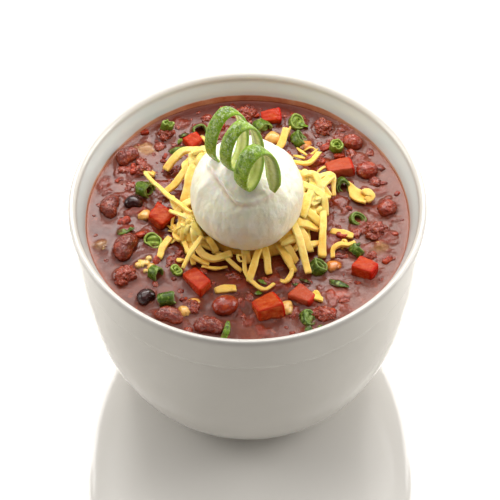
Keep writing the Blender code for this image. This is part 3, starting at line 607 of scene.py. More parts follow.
def chili_sauce():
    """A glossy brown-red sauce, with oil at the front, a band of painted shade at the back, a painted
    reflection lightening the right side, and what shows through it.
    """
    made, tree, shader = new_material("chili_sauce")
    n = Nodes(tree)
    x, y = n.along("X"), n.along("Y")
    base = n.ramp(
        n.noise(0.12, 5, 0.6),
        (0.25, rgb(82, 29, 13)), (0.45, rgb(100, 39, 20)), (0.60, rgb(116, 50, 29)), (0.8, rgb(136, 66, 38)),
    )
    base = n.tint(base, "shore", 0.8, rgb(176, 98, 64))
    oil = n.span(n.noise(0.3, 4, 0.6, offset=2.0), 0.58, 0.70)
    base = n.mix(n.math("MULTIPLY", oil, n.span(y, -0.052, -0.025, 0.75, 0.35)), base, SAUCE_OIL)
    # Painted shade: darker red near the back wall, where the wall blocks the light's reflection.
    base = n.mix(n.span(y, 0.050, 0.062, 0.0, 0.6), base, rgb(92, 22, 6))
    # Painted reflection: the right side is lightened towards pale brown, as where light reflects off the
    # sauce.
    base = n.mix(n.span(x, 0.020, 0.060, 0.0, 0.35), base, rgb(150, 90, 68))
    base = n.patches(base, n.noise(1.1, 2, offset=6.0), 0.68, 0.76, 0.4, rgb(64, 22, 14))
    for mark, colour in (
        ("meat", rgb(146, 50, 30)), ("tomato", rgb(186, 74, 46)), ("corn", rgb(206, 160, 104)),
    ):
        share = n.math("MULTIPLY", n.mark(mark), n.span(n.noise(0.7, 3, offset=8.0), 0.3, 0.6, 0.35, 0.9))
        base = n.mix(share, base, colour)
    n.link(base, shader.inputs["Base Color"])
    calm = n.math("MULTIPLY", n.span(y, -0.045, -0.010, 0.28, 0.0), n.span(x, 0.005, 0.030, 1.0, 0.2))
    calm = n.math("ADD", calm, n.span(y, 0.054, 0.062, 0.0, 0.3))
    gloss = n.span(n.noise(0.4, 3, offset=9.0), 0.35, 0.7, 0.14, 0.26)
    n.link(n.math("ADD", gloss, calm), shader.inputs["Roughness"])
    shader.inputs["IOR"].default_value = 1.42
    shader.inputs["Specular IOR Level"].default_value = 0.38
    shader.inputs["Coat Weight"].default_value = 0.15
    shader.inputs["Coat Roughness"].default_value = 0.12
    shader.inputs["Subsurface Weight"].default_value = 0.12
    shader.inputs["Subsurface Radius"].default_value = (1.0, 0.3, 0.15)
    shader.inputs["Subsurface Scale"].default_value = 1.2 * MM
    craggy = n.math("MULTIPLY", n.noise(1.3, 3, offset=11.0), n.math("ADD", n.mark("meat"), 0.12))
    ripple = n.math("MULTIPLY", n.noise(0.55, 4, 0.6, offset=12.0), n.span(x, 0.020, 0.050, 0.45, 1.25))
    n.link(n.bump(craggy, 0.6, 0.35, n.bump(ripple, 0.5, 0.45)), shader.inputs["Normal"])
    return made


def food_material(
    name, colours, per_mm, rough, bump, sss=None, stain=None, coat=0.0, extra=None, ior=1.42,
    seed=0.0, shine=0.5,
):
    """A moist food: a band of colours driven by noise, sauce on its lower part, soft light under the skin.

    rough is the least and greatest roughness; bump is hills in each mm, strength and depth in mm; sss is
    weight, radius and scale in mm; stain is two heights in mm and a strength; extra changes the colour.
    """
    made, tree, shader = new_material(name)
    n = Nodes(tree)
    stops = [(0.28 + 0.44 * i / (len(colours) - 1), colour) for i, colour in enumerate(colours)]
    colour = n.ramp(n.noise(per_mm, 4, 0.58, offset=seed), *stops)
    if extra:
        colour = extra(n, colour)
    if stain:
        colour = sauce_stain(n, colour, stain[0], stain[1], seed + 1.0, stain[2])
    n.link(colour, shader.inputs["Base Color"])
    uneven = n.noise(per_mm * 2, 2, offset=seed + 2)
    n.link(n.span(uneven, 0.35, 0.7, rough[0], rough[1]), shader.inputs["Roughness"])
    shader.inputs["IOR"].default_value = ior
    shader.inputs["Specular IOR Level"].default_value = shine
    if coat:
        shader.inputs["Coat Weight"].default_value = coat
        shader.inputs["Coat Roughness"].default_value = 0.08
    if sss:
        weight, radius, scale_mm = sss
        shader.inputs["Subsurface Weight"].default_value = weight
        shader.inputs["Subsurface Radius"].default_value = radius
        shader.inputs["Subsurface Scale"].default_value = scale_mm * MM
    fine = n.bump(n.noise(bump[0] * 2.7, 2, offset=seed + 3), bump[1] * 0.6, bump[2] * 0.5)
    n.link(n.bump(n.noise(bump[0], 3, offset=seed + 4), bump[1], bump[2], fine), shader.inputs["Normal"])
    return made


# The bowl.
def belly(top_radius, top_z, flat_radius, flat_z, rows):
    """The bowl's full curve from (top_radius, top_z) down to the flat bottom."""
    angle = np.linspace(0, math.pi / 2, rows + 1)
    across = np.maximum(np.cos(angle), 0.0) ** (2 / BELLY_ACROSS)
    down = np.sin(angle) ** (2 / BELLY_DOWN)
    radius, height = flat_radius + (top_radius - flat_radius) * across, top_z - (top_z - flat_z) * down
    return np.stack([radius, height], axis=1)


def arc(centre, radii, first, last, steps):
    """Points along an ellipse from one angle to another, in degrees."""
    angles = np.radians(np.linspace(first, last, steps))
    return np.stack([centre[0] + radii[0] * np.cos(angles), centre[1] + radii[1] * np.sin(angles)], axis=1)


def turned(profile, sides):
    """The shape that a profile of (radius, height) points makes when turned about Z, closed at the axis."""
    profile = np.asarray(profile, float)
    angles = np.arange(sides) * TAU / sides
    rings = np.stack(
        [
            profile[1:-1, 0, None] * np.cos(angles),
            profile[1:-1, 0, None] * np.sin(angles),
            np.broadcast_to(profile[1:-1, 1, None], (len(profile) - 2, sides)),
        ],
        axis=-1,
    )
    ends = np.array([[0, 0, profile[0, 1]], [0, 0, profile[-1, 1]]])
    return np.concatenate([rings.reshape(-1, 3), ends]), tube_faces(len(profile) - 2, sides)


def make_bowl():
    """The bowl's profile, from the middle of the foot up the outside, over the lip and down the inside."""
    outside = belly(STEP_RADIUS, BAND_Z, FOOT_RADIUS, FOOT_HEIGHT, 56)[::-1]
    band = [
        (75.85, 91.75), (76.25, 91.95), (76.6, 92.2), (76.8, 92.6), (76.87, 93.2), (77.1, 97), (77.6, 103.5),
        (77.9, 107.8),
    ]
    lip_radius = RIM_RADIUS - 1.2
    lip = np.concatenate([
        arc((lip_radius, BOWL_HEIGHT - 1.7), (1.2, 1.7), 0, 90, 9),
        arc((lip_radius, BOWL_HEIGHT - 2.6), (2.3, 2.6), 96, 174, 9),
    ])
    wall = [
        (74.5, 0, 108.4), (74.0, 0, 107.4), (71.9, 0, 103.5), (70.5, 0, 99.0), (70.05, 0, 95.0),
        (WALL_RADIUS, 0, 91.5),
    ]
    wall = smooth_line(wall, 0.6)[1:][:, [0, 2]]
    inside = belly(WALL_RADIUS, BAND_Z, INSIDE_FLAT, INSIDE_FLOOR, 40)[1:]
    foot = [
        (0.0, FOOT_RECESS), (26.6, FOOT_RECESS), (27.2, 1.5), (27.5, 0.5), (27.9, 0.1), (28.4, 0.0),
        (29.6, 0.0),
        (30.3, 0.15), (30.8, 0.7), (31.0, 1.6),
    ]
    profile = np.concatenate([foot, outside, band, lip, wall, inside, [(0.0, INSIDE_FLOOR)]])
    batch = Batch()
    batch.add(*turned(profile, 220))
    batch.piece("bowl_body", porcelain(), ["bowl"])


# The chili's surface.
def ellipse_distance(x, y, cx, cy, a, b, turn):
    """How far outside an ellipse each point is, roughly, in mm. Negative inside."""
    c, s = math.cos(turn), math.sin(turn)
    u, v = (x - cx) * c + (y - cy) * s, (y - cy) * c - (x - cx) * s
    scaled = np.sqrt((u / a) ** 2 + (v / b) ** 2)
    return (scaled - 1) * min(a, b)


def floating_outlines():
    """The outline of each piece that breaks the surface, as x, y, half length, half width, turn."""
    for x, y, w, d, _, turn, _ in TOMATOES:
        yield x, y, w * 0.52, d * 0.52, math.radians(turn)
    for x, y, length, width, turn, _, _ in BEANS:
        yield x, y, length * 0.48, width * 0.48, math.radians(turn)
    for x, y, r in MEAT_LUMPS:
        yield x, y, r, r * 0.85, 0.0
    for x, y, r, height, tilt, turn, _ in ONION_RINGS:
        half = r * math.cos(math.radians(tilt)) + height / 2 * math.sin(math.radians(tilt))
        yield x, y, r, max(half, 2.0), math.radians(turn)
    for x, y, length, turn, _, _ in ONION_STRIPS:
        yield x, y, length * 0.35, 1.6, math.radians(turn)
    for x, y, turn, _, _, size in CORN:
        yield x, y, 3.6 * size, 2.8 * size, math.radians(turn)
    for points, width in LOOSE_STRANDS:
        middle, ends = points[len(points) // 2], (points[0], points[-1])
        turn = math.atan2(ends[1][1] - ends[0][1], ends[1][0] - ends[0][0])
        yield middle[0], middle[1], 3.6, width / 2, turn


OUTLINES = list(floating_outlines())


def soup_height(x, y):
    """The height of the chili's surface over its level, and how much of each sunk kind shows there."""
    x, y = np.asarray(x, float), np.asarray(y, float)
    flat = np.stack([x, y, np.zeros_like(x)], axis=-1)
    z = 0.15 * smooth_noise(flat, 14, 3)
    radius = np.hypot(x, y)
    crowded = blend(-0.35, 0.25, smooth_noise(flat, 16, 8))
    crowded = crowded * blend(SOUP_RADIUS - 1.5, SOUP_RADIUS - 8, radius)
    bits = blend(0.0, 0.55, rough_noise(flat, 5.2, 7, 3)) * crowded
    z = z + 0.62 * bits + 0.14 * bits * rough_noise(flat, 1.3, 12, 2)
    shore = np.exp(-np.maximum(SOUP_RADIUS - radius, 0) / 0.9)
    z = z + 0.4 * shore
    marks = {"shore": shore, "meat": 0.7 * bits, "tomato": np.zeros_like(x), "corn": np.zeros_like(x)}
    for cx, cy, a, b, turn, lift, kind in SUNK:
        far = ellipse_distance(x, y, cx, cy, a, b, math.radians(turn))
        here = 1 - blend(-1.8, 1.0, far + 0.8 * rough_noise(flat, 2.6, 13, 2))
        lump = 0.75 + 0.35 * rough_noise(flat, 2.4, 11, 2)
        z = z + lift * here * lump
        marks[kind] = np.maximum(marks[kind], here * 0.62)
    rise = np.zeros_like(x)
    for cx, cy, a, b, turn in OUTLINES:
        far = ellipse_distance(x, y, cx, cy, a, b, turn)
        rise = np.maximum(rise, 0.62 * np.exp(-np.maximum(far, 0) / 0.85))
    z = z + rise + 0.02 * rough_noise(flat, 1.6, 9, 2)
    return z, marks


def level_at(x, y):
    """The chili's height over the floor at one place, in mm."""
    return SOUP_Z + float(soup_height(np.array([x]), np.array([y]))[0][0])


def make_soup():
    """The surface as a square grid pressed into a circle, with a plain body down to the bowl's floor."""
    side = 236
    steps = np.linspace(-1, 1, side)
    u, v = np.meshgrid(steps, steps, indexing="ij")
    x, y = u * np.sqrt(1 - v * v / 2), v * np.sqrt(1 - u * u / 2)
    reach = SOUP_RADIUS + 0.1
    x, y = x * reach, y * reach
    z, marks = soup_height(x, y)
    top = np.stack([x, y, SOUP_Z + z], axis=-1).reshape(-1, 3)
    index = np.arange(side * side).reshape(side, side)
    faces = [
        (index[i, j], index[i + 1, j], index[i + 1, j + 1], index[i, j + 1])
        for i in range(side - 1)
        for j in range(side - 1)
    ]
    edge = np.concatenate([index[:-1, 0], index[-1, :-1], index[:0:-1, -1], index[0, :0:-1]])
    around = len(edge)
    angle = np.arctan2(top[edge][:, 1], top[edge][:, 0])
    wall = belly(WALL_RADIUS - GAP, BAND_Z, INSIDE_FLAT - GAP, INSIDE_FLOOR + GAP, 10)
    wall = np.concatenate([[(SOUP_RADIUS - 0.3, SOUP_Z - 1.5)], wall])
    places, rows = [top], [edge]
    count = len(top)
    for radius, height in wall:
        ring = [radius * np.cos(angle), radius * np.sin(angle), np.full(around, height)]
        places.append(np.stack(ring, axis=1))
        rows.append(np.arange(count, count + around))
        count += around
    for upper, lower in zip(rows, rows[1:]):
        for i in range(around):
            j = (i + 1) % around
            faces.append((upper[i], lower[i], lower[j], upper[j]))
    places.append(np.array([[0, 0, INSIDE_FLOOR + GAP]]))
    for i in range(around):
        faces.append((count, rows[-1][(i + 1) % around], rows[-1][i]))
    places = np.concatenate(places)
    below = np.zeros(len(places) - len(top))
    marks = {name: np.concatenate([values.ravel(), below]) for name, values in marks.items()}
    batch = Batch()
    batch.add(places, [tuple(int(i) for i in face) for face in faces], **marks)
    batch.piece("chili_surface", chili_sauce(), ["chili"])


# The toppings.
def rounded_box(corners, power, detail, bulge=0.0):
    """A box with soft edges between eight corners, in the order x, y, z from low to high, z fastest."""
    shape = bmesh.new()
    bmesh.ops.create_cube(shape, size=2.0)
    bmesh.ops.subdivide_edges(shape, edges=shape.edges[:], cuts=detail, use_grid_fill=True)
    cube = np.array([v.co[:] for v in shape.verts])
    faces = [[v.index for v in f.verts] for f in shape.faces]
    shape.free()
    skin = blend(0.70, 0.95, cube[:, 0])
    even = np.sign(cube) * np.abs(cube) ** 0.9
    soft = even / (np.sum(np.abs(even) ** power, axis=1) ** (1 / power))[:, None]
    soft[:, 0] += bulge * skin * (1 - 0.5 * soft[:, 1] ** 2 - 0.5 * soft[:, 2] ** 2)
    t = (soft + 1) / 2
    places = np.zeros_like(soft)
    for i, corner in enumerate(corners):
        weight = np.ones(len(soft))
        for axis, bit in enumerate((i >> 2 & 1, i >> 1 & 1, i & 1)):
            weight = weight * (t[:, axis] if bit else 1 - t[:, axis])
        places += weight[:, None] * corner
    return places, faces, skin, cube


def make_tomatoes():
    """Cubes that keep the uneven corners of the CAD's cubes, which the same draws made, and sunk shards."""
    rng = random.Random(7)
    batch = Batch()
    for index, (x, y, width, depth, height, turn, rise) in enumerate(TOMATOES):
        cube = bmesh.new()
        bmesh.ops.create_cube(cube, size=1.0)
        corners = {}
        for vert in cube.verts:
            uneven = [1.0 + rng.uniform(-0.14, 0.14) for _ in range(3)]
            key = tuple(c > 0 for c in vert.co)
            corners[key] = [c * s * u for c, s, u in zip(vert.co, (width, depth, height), uneven)]
        cube.free()
        lean = rng.uniform(-14, 14)
        ordered = [np.array(corners[(bool(i >> 2 & 1), bool(i >> 1 & 1), bool(i & 1))]) for i in range(8)]
        places, faces, skin, unit_cube = rounded_box(ordered, 10.0, 15, 0.08)
        pulp = rough_noise(places + index * 20, 3.0, 21, 4)
        streak = smooth_noise(places * [0.35, 1, 1] + index * 9, 1.0, 22)
        on_skin = skin > 0.5
        relief = np.where(on_skin, 0.08, 0.24) * pulp + np.where(on_skin, 0.0, 0.09) * streak
        places = places + unit(places) * relief[:, None]
        places[:, 1] *= 1 - 0.30 * places[:, 0] / width * (1 if index % 2 else -1)
        places = places * (SMALLER if index in SMALLER_TOMATOES else 1.0)
        places = posed(places, turn, "X", math.radians(lean), [x, y, SOUP_Z + rise])
        edge = blend(0.72, 1.0, np.sort(np.abs(unit_cube), axis=1)[:, 1])
        dull = 1.0 if index in SUNK_TOMATOES else 0.0
        batch.add(places, faces, skin=skin, edge=edge, tone=TOMATO_REDNESS[index], dull=dull)

    def two_sides(n, colour):
        """Glossy skin on one side, streaked flesh on the others."""
        flesh = n.ramp(
            n.noise(0.55, 4, 0.6, offset=4.0, stretch=(0.35, 1.0, 1.0)),
            (0.28, rgb(158, 42, 14)), (0.45, rgb(182, 68, 28)), (0.60, rgb(198, 94, 44)),
            (0.78, rgb(220, 138, 86)),
        )
        flesh = n.patches(flesh, n.cells(0.35, offset=2.0), 0.15, 0.5, 0.3, rgb(176, 36, 10))
        flesh = n.tint(flesh, "edge", 0.65, rgb(186, 24, 5))
        flesh = n.tint(flesh, "tone", 0.6, rgb(186, 36, 10))
        flesh = n.tint(flesh, "dull", 0.55, rgb(178, 88, 62))
        colour = n.tint(colour, "dull", 0.4, rgb(178, 60, 36))
        return n.mix(n.span(n.mark("skin"), 0.3, 0.9), flesh, colour)

    material = food_material(
        "cut_tomato", [rgb(170, 16, 5), rgb(190, 26, 8), rgb(206, 46, 16)], 0.25, (0.16, 0.34),
        (0.7, 0.6, 0.6), sss=(0.2, (1.0, 0.25, 0.08), 1.8), stain=(99.0, 100.8, 0.6), extra=two_sides,
        seed=3.0, ior=1.36, shine=0.2,
    )
    batch.piece("tomato_cubes", material, [f"tomato_{i + 1}" for i in range(len(TOMATOES))])
    bits = Batch()
    points, faces = ball_points(4)
    for index, (x, y, size, turn) in enumerate(TOMATO_BITS):
        shard = np.sign(points) * np.abs(points) ** 0.75 * [size, size * 0.62, size * 0.42]
        shard += unit(shard) * (size * 0.16 * rough_noise(shard + index * 13, size * 0.9, 23, 3))[:, None]
        place = [x, y, level_at(x, y) - 0.05 * size]
        bits.add(posed(shard, turn, "X", 0.35 * math.sin(index * 2.3), place), faces)
    skins = food_material(
        "sunk_tomato", [rgb(112, 26, 12), rgb(146, 40, 18), rgb(178, 62, 28), rgb(198, 96, 56)], 0.5,
        (0.16, 0.34),
        (1.2, 0.5, 0.35), sss=(0.1, (1.0, 0.25, 0.08), 1.0), stain=(98.8, 100.2, 0.8), seed=35.0, shine=0.4,
    )
    bits.piece("tomato_bits", skins)


def ball_points(detail):
    shape = bmesh.new()
    bmesh.ops.create_icosphere(shape, subdivisions=detail, radius=1.0)
    points = np.array([v.co[:] for v in shape.verts])
    faces = [[v.index for v in f.verts] for f in shape.faces]
    shape.free()
    return points, faces


def bean_skin(n, colour):
    """Painted glow on the lighter, more orange sides, painted shade low down, sauce that stays on the upper
    side in patches, and painted glints on top.
    """
    # Painted glow: the sides of some beans are lighter and more orange, as where light shines through the
    # thin skin.
    colour = n.tint(colour, "side", 0.7, rgb(186, 72, 28))
    # Painted shade: darker low down, where the bean meets the sauce.
    colour = n.mix(n.span(n.height(), 99.4, 103.0, 0.45, 0.0), colour, rgb(70, 16, 8))
    colour = n.patches(colour, n.noise(0.55, 4, 0.65, offset=15.0), 0.50, 0.66, 0.35, rgb(84, 30, 18))
    # Painted highlights: pale pink glints on the upper side.
    painted_glints = n.span(n.noise(0.8, 3, 0.6, offset=21.0), 0.52, 0.68, 0.0, 0.42)
    return n.mix(n.math("MULTIPLY", painted_glints, n.mark("top")), colour, rgb(206, 148, 126))


def make_beans():
    """Round red beans, kidney beans with a dent on one side, and black beans."""
    juicy = {"sss": (0.08, (1.0, 0.25, 0.1), 0.8), "coat": 0.4, "extra": bean_skin}
    looks = {
        "red": food_material(
            "red_bean_skin", [rgb(124, 32, 12), rgb(156, 48, 20), rgb(184, 72, 30)], 0.3, (0.10, 0.24),
            (0.9, 0.6, 0.5), stain=(98.8, 101.0, 0.8), seed=5.0, **juicy,
        ),
        "kidney": food_material(
            "kidney_bean_skin", [rgb(88, 24, 12), rgb(126, 38, 18), rgb(168, 66, 30)], 0.35, (0.10, 0.28),
            (0.9, 0.9, 0.8), stain=(98.8, 101.4, 0.85), seed=8.0, **juicy,
        ),
        "black": food_material(
            "black_bean_skin", [rgb(28, 10, 12), rgb(44, 16, 16), rgb(70, 24, 22)], 0.3, (0.14, 0.28),
            (0.5, 0.2, 0.2), stain=(98.8, 100.8, 0.7), coat=0.25, seed=11.0,
        ),
    }
    points, faces = ball_points(5)
    plump = 1 + 0.05 * (1 - np.abs(points[:, :1]) ** 3)
    full = unit(np.sign(points) * np.abs(points) ** 0.94) * plump / 1.03
    dent = np.exp(-((points[:, 0] / 0.35) ** 2) - ((points[:, 1] + 1) / 0.4) ** 2)
    for kind, material in looks.items():
        batch = Batch()
        nodes = []
        for index, (x, y, length, width, turn, rise, which) in enumerate(BEANS):
            if which != kind:
                continue
            nodes.append(f"{kind}_bean_{index + 1}")
            places = full * [length / 2, width / 2, width * 0.42]
            if kind != "red":
                places[:, 1] += 0.12 * width * (0.4 - points[:, 0] ** 2)
                places[:, 1] += 0.10 * width * dent
            smooth = index == 0 or kind == "black"
            wrinkle = rough_noise(places + index * 11, 3.4 if smooth else 1.7, 31, 3)
            places += unit(places) * ((0.14 if smooth else 0.30) * wrinkle)[:, None]
            # The side mark carries painted glow and the top mark painted highlights.
            batch.add(
                spun(places, math.radians(turn), [x, y, SOUP_Z + rise]), faces,
                side=blend(0.25, 0.9, 1 - np.abs(points[:, 2])) * (index % 3) / 2,
                top=blend(0.2, 0.8, points[:, 2]) * (0.25 if smooth else 1.0),
            )
        batch.piece(f"{kind}_beans", material, nodes)


def crumbly(points, size, seed):
    """A craggy lump of minced meat, with creases and knobs of several sizes."""
    here = points + seed * 3.7
    reach = 0.92 + 0.24 * smooth_noise(here, 0.95, 41)
    reach += 0.16 * (1 - 2 * np.abs(rough_noise(here, 0.62, 42, 2)))
    reach += 0.13 * rough_noise(here, 0.34, 43, 2)
    return points * reach[:, None] * np.asarray(size)


def make_meat():
    """The lumps that the CAD has, each with three smaller ones on it, and crumbs between the toppings."""
    points, faces = ball_points(5)
    small, small_faces = ball_points(4)
    grain, grain_faces = ball_points(3)
    rng = random.Random(5)
    batch = Batch()
    for index, (x, y, radius) in enumerate(MEAT_LUMPS):
        turn = rng.uniform(0, TAU)
        tone = rng.uniform(0, 1)
        lump = crumbly(points, (radius * 0.98, radius * 0.74, radius * 0.72), index)
        batch.add(spun(lump, turn, [x, y, SOUP_Z + 0.5]), faces, tone=tone)
        for part in range(3):
            way = turn + rng.uniform(-0.5, 0.5) + part * math.pi + (math.pi / 2 if part == 2 else 0)
            share = rng.uniform(0.42, 0.58) * radius
            far = radius * (0.55 if part < 2 else 0.42)
            lump = crumbly(small, (share * 1.1, share, share * 0.95), 30 + index * 3 + part)
            place = [x + far * math.cos(way), y + far * math.sin(way), SOUP_Z + 0.6]
            batch.add(spun(lump, way, place), small_faces, tone=rng.uniform(0, 1))
    made = 0
    while made < CRUMBS_ALL_ROUND + CRUMBS_AT_BACK:
        r, angle = 70 * math.sqrt(rng.uniform(0.12, 0.94)), rng.uniform(0, TAU)
        if made >= CRUMBS_ALL_ROUND:
            angle = math.pi / 2 + rng.uniform(-1.2, 1.2)
        x, y = r * math.cos(angle), r * math.sin(angle)
        size = rng.uniform(0.5, 1.4) if made % 3 else rng.uniform(1.4, 3.0)
        near = (ellipse_distance(np.array(x), np.array(y), *outline) < size * 0.4 for outline in OUTLINES)
        if r + size > 69.0 or any(near):
            continue
        shape, shape_faces = (small, small_faces) if size > 2.4 else (grain, grain_faces)
        crumb = crumbly(shape, (size * rng.uniform(1.1, 1.5), size, size * 0.7), 90 + made)
        place = [x, y, level_at(x, y) - 0.32 * size]
        batch.add(spun(crumb, angle * 7, place), shape_faces, tone=rng.uniform(0.3, 1))
        made += 1

    def meat_tones_and_glints(n, colour):
        colour = n.tint(colour, "tone", 0.55, rgb(168, 60, 32))
        colour = n.patches(colour, n.noise(0.8, 3, offset=5.0), 0.58, 0.70, 0.6, rgb(186, 96, 66))
        # Painted highlights: pale pink glints scattered over the lumps.
        return n.patches(colour, n.noise(1.0, 4, 0.6, offset=25.0), 0.58, 0.70, 0.62, rgb(226, 172, 148))

    material = food_material(
        "minced_meat", [rgb(84, 24, 12), rgb(128, 40, 20), rgb(158, 58, 30), rgb(184, 92, 56)], 0.6,
        (0.10, 0.26), (1.2, 0.9, 0.7), sss=(0.05, (1.0, 0.4, 0.2), 0.8), stain=(98.6, 100.2, 0.6),
        coat=0.5, extra=meat_tones_and_glints, seed=14.0,
    )
    batch.piece("meat_lumps", material)


def onion_ring(radius, height, wall, oval, seed, sides=44):
    """A slice of spring onion with an uneven rim. Marks say what is cut face and what is skin."""
    half, inner = height / 2, radius - wall
    # Each point of the section is radius, height and how much of the pale cut face it shows.
    section = [
        (radius, -half + 0.25, 0.0), (radius + 0.05, -half * 0.4, 0.0), (radius + 0.05, half * 0.4, 0.0),
        (radius, half - 0.25, 0.25), (radius - 0.2, half, 0.9), (radius - wall * 0.5, half + 0.12, 1.0),
        (inner + 0.2, half, 0.9), (inner, half - 0.3, 0.5), (inner - 0.05, 0.0, 0.3),
        (inner, -half + 0.3, 0.5),
        (inner + 0.2, -half, 0.9), (radius - wall * 0.5, -half - 0.12, 1.0), (radius - 0.2, -half, 0.9),
    ]
    angles = np.arange(sides) * TAU / sides
    circle = np.stack([np.cos(angles) * 2, np.sin(angles) * 2, np.full(sides, seed * 5.0)], axis=1)
    bulge = 0.10 * radius * smooth_noise(circle, 1.5, 64)
    ragged = 0.10 * height * smooth_noise(circle, 1.1, 65)
    wave = 0.15 * np.sin(3 * angles + 2 * seed)
    places, faces, marks = [], [], []
    for row, (r, z, cut) in enumerate(section):
        reach = r * (1 + oval * np.cos(2 * angles + seed)) + bulge
        skin = np.stack([reach * np.cos(angles), reach * np.sin(angles), np.full(sides, z * 0.3)], axis=1)
        reach = reach + 0.06 * smooth_noise(skin, 0.7, 66)
        ring = [reach * np.cos(angles), reach * np.sin(angles), z + ragged * np.sign(z) + wave]
        places.append(np.stack(ring, axis=1))
        marks.append(np.full(sides, cut))
        other = (row + 1) % len(section)
        for k in range(sides):
            j = (k + 1) % sides
            faces.append((row * sides + k, row * sides + j, other * sides + j, other * sides + k))
    ribs = np.tile(0.5 + 0.5 * smooth_noise(circle * 2, 0.8, 61), len(section))
    return np.concatenate(places), faces, np.concatenate(marks), ribs


def make_onion():
    """Slices with one or two layers, some with a curled leaf inside, strips, and flakes of leaf."""
    batch = Batch()
    points, ball_faces = ball_points(4)
    for index, (x, y, radius, height, tilt, turn, light) in enumerate(ONION_RINGS):
        tip = math.radians(tilt)
        shift = np.array([x, y, SOUP_Z + 0.3 + 0.35 * radius * math.sin(tip)])
        oval = 0.08 + 0.10 * (index * 5 % 4) / 3
        layers = [(radius, ONION_WALL * 0.75, height)]
        if index % 3 != 1:
            layers.append((radius - ONION_WALL * 0.80, 0.7, height * (0.80 + 0.12 * math.sin(index))))
        for layer, (outer, wall, tall) in enumerate(layers):
            if outer - wall < 0.5:
                continue
            places, faces, cut, ribs = onion_ring(outer, tall, wall, oval, index + layer * 0.2)
            if layer:
                places[:, :2] += [0.2 * math.sin(index * 3.0), 0.2 * math.cos(index * 3.0)]
            batch.add(
                posed(places, turn, "X", tip, shift), faces, cut=cut, light=light + 0.15 * layer, rib=ribs
            )
        if light > 0.6 or index % 4 == 3:
            # A curled inner leaf that fills most of the hole.
            leaf = points * [radius * 0.86, radius * 0.80, height * 0.54]
            leaf[:, 2] -= 0.35 * height * np.exp(-((leaf[:, 1] / (0.16 * radius)) ** 2)) * (leaf[:, 2] > 0)
            leaf += unit(leaf) * (0.12 * rough_noise(leaf + index * 5, 1.2, 67, 2))[:, None]
            ribs = 0.5 + 0.5 * smooth_noise(leaf, 1.0, 68)
            batch.add(posed(leaf, turn, "X", tip, shift), ball_faces, cut=0.45, light=light + 0.2, rib=ribs)
    for index, (x, y, length, turn, lift, light) in enumerate(ONION_STRIPS):
        c, s = math.cos(math.radians(turn)), math.sin(math.radians(turn))
        a = (x - c * length / 2, y - s * length / 2, SOUP_Z + 0.2)
        b = (x + c * length / 2, y + s * length / 2, SOUP_Z + 0.4 + lift)
        middle = ((a[0] + b[0]) / 2 + 0.5 * s, (a[1] + b[1]) / 2 - 0.5 * c, (a[2] + b[2]) / 2 + 0.5)
        places, faces, edge = strip(
            [a, middle, b], 3.4, 1.1, 200 + index, twist=0.6, sides=14, power=2.6, grain=0.05,
            ends=(0.75, 0.45),
        )
        ribs = 0.5 + 0.5 * smooth_noise(places * [1, 1, 0.3], 0.9, 63)
        batch.add(places, faces, cut=edge * 0.3, light=light, rib=ribs)
    for index, (x, y, length, width, turn, light) in enumerate(GREEN_FLAKES):
        c, s = math.cos(math.radians(turn)), math.sin(math.radians(turn))
        level = level_at(x, y) + 0.5
        line = [
            (x - c * length / 2, y - s * length / 2, level), (x + 0.3 * s, y - 0.3 * c, level + 0.5),
            (x + c * length / 2, y + s * length / 2, level - 0.1),
        ]
        places, faces, edge = strip(
            line, width, 0.7, 230 + index, twist=0.8, sides=12, power=2.4, grain=0.05, spacing=0.4,
            ends=(0.4, 0.55),
        )
        batch.add(places, faces, cut=edge * 0.25, light=light, rib=0.5 + 0.5 * smooth_noise(places, 0.8, 69))

    def greens(n, _):
        """Skin from dark to light green with ribs and patches, and the paler cut faces."""
        skin = n.mix(n.mark("light"), rgb(44, 68, 20), rgb(132, 166, 30))
        skin = n.tint(skin, "rib", 0.55, rgb(30, 46, 10))
        skin = n.patches(skin, n.noise(0.55, 4, 0.6, offset=7.0), 0.50, 0.68, 0.6, rgb(164, 186, 84))
        skin = n.patches(skin, n.noise(0.8, 4, 0.65, offset=27.0), 0.52, 0.62, 0.7, rgb(30, 44, 12))
        cut = n.mix(n.mark("light"), rgb(104, 130, 78), rgb(180, 198, 92))
        cut = n.patches(cut, n.noise(1.1, 3, offset=9.0), 0.45, 0.65, 0.45, rgb(86, 108, 30))
        return n.mix(n.mark("cut"), skin, cut)

    material = food_material(
        "spring_onion", [rgb(60, 110, 30), rgb(90, 140, 44)], 0.4, (0.18, 0.34), (1.2, 0.35, 0.25),
        sss=(0.05, (0.8, 1.0, 0.3), 0.6), stain=(98.8, 100.8, 0.7), extra=greens, seed=17.0, shine=0.35,
    )
    batch.piece("spring_onion_slices", material)


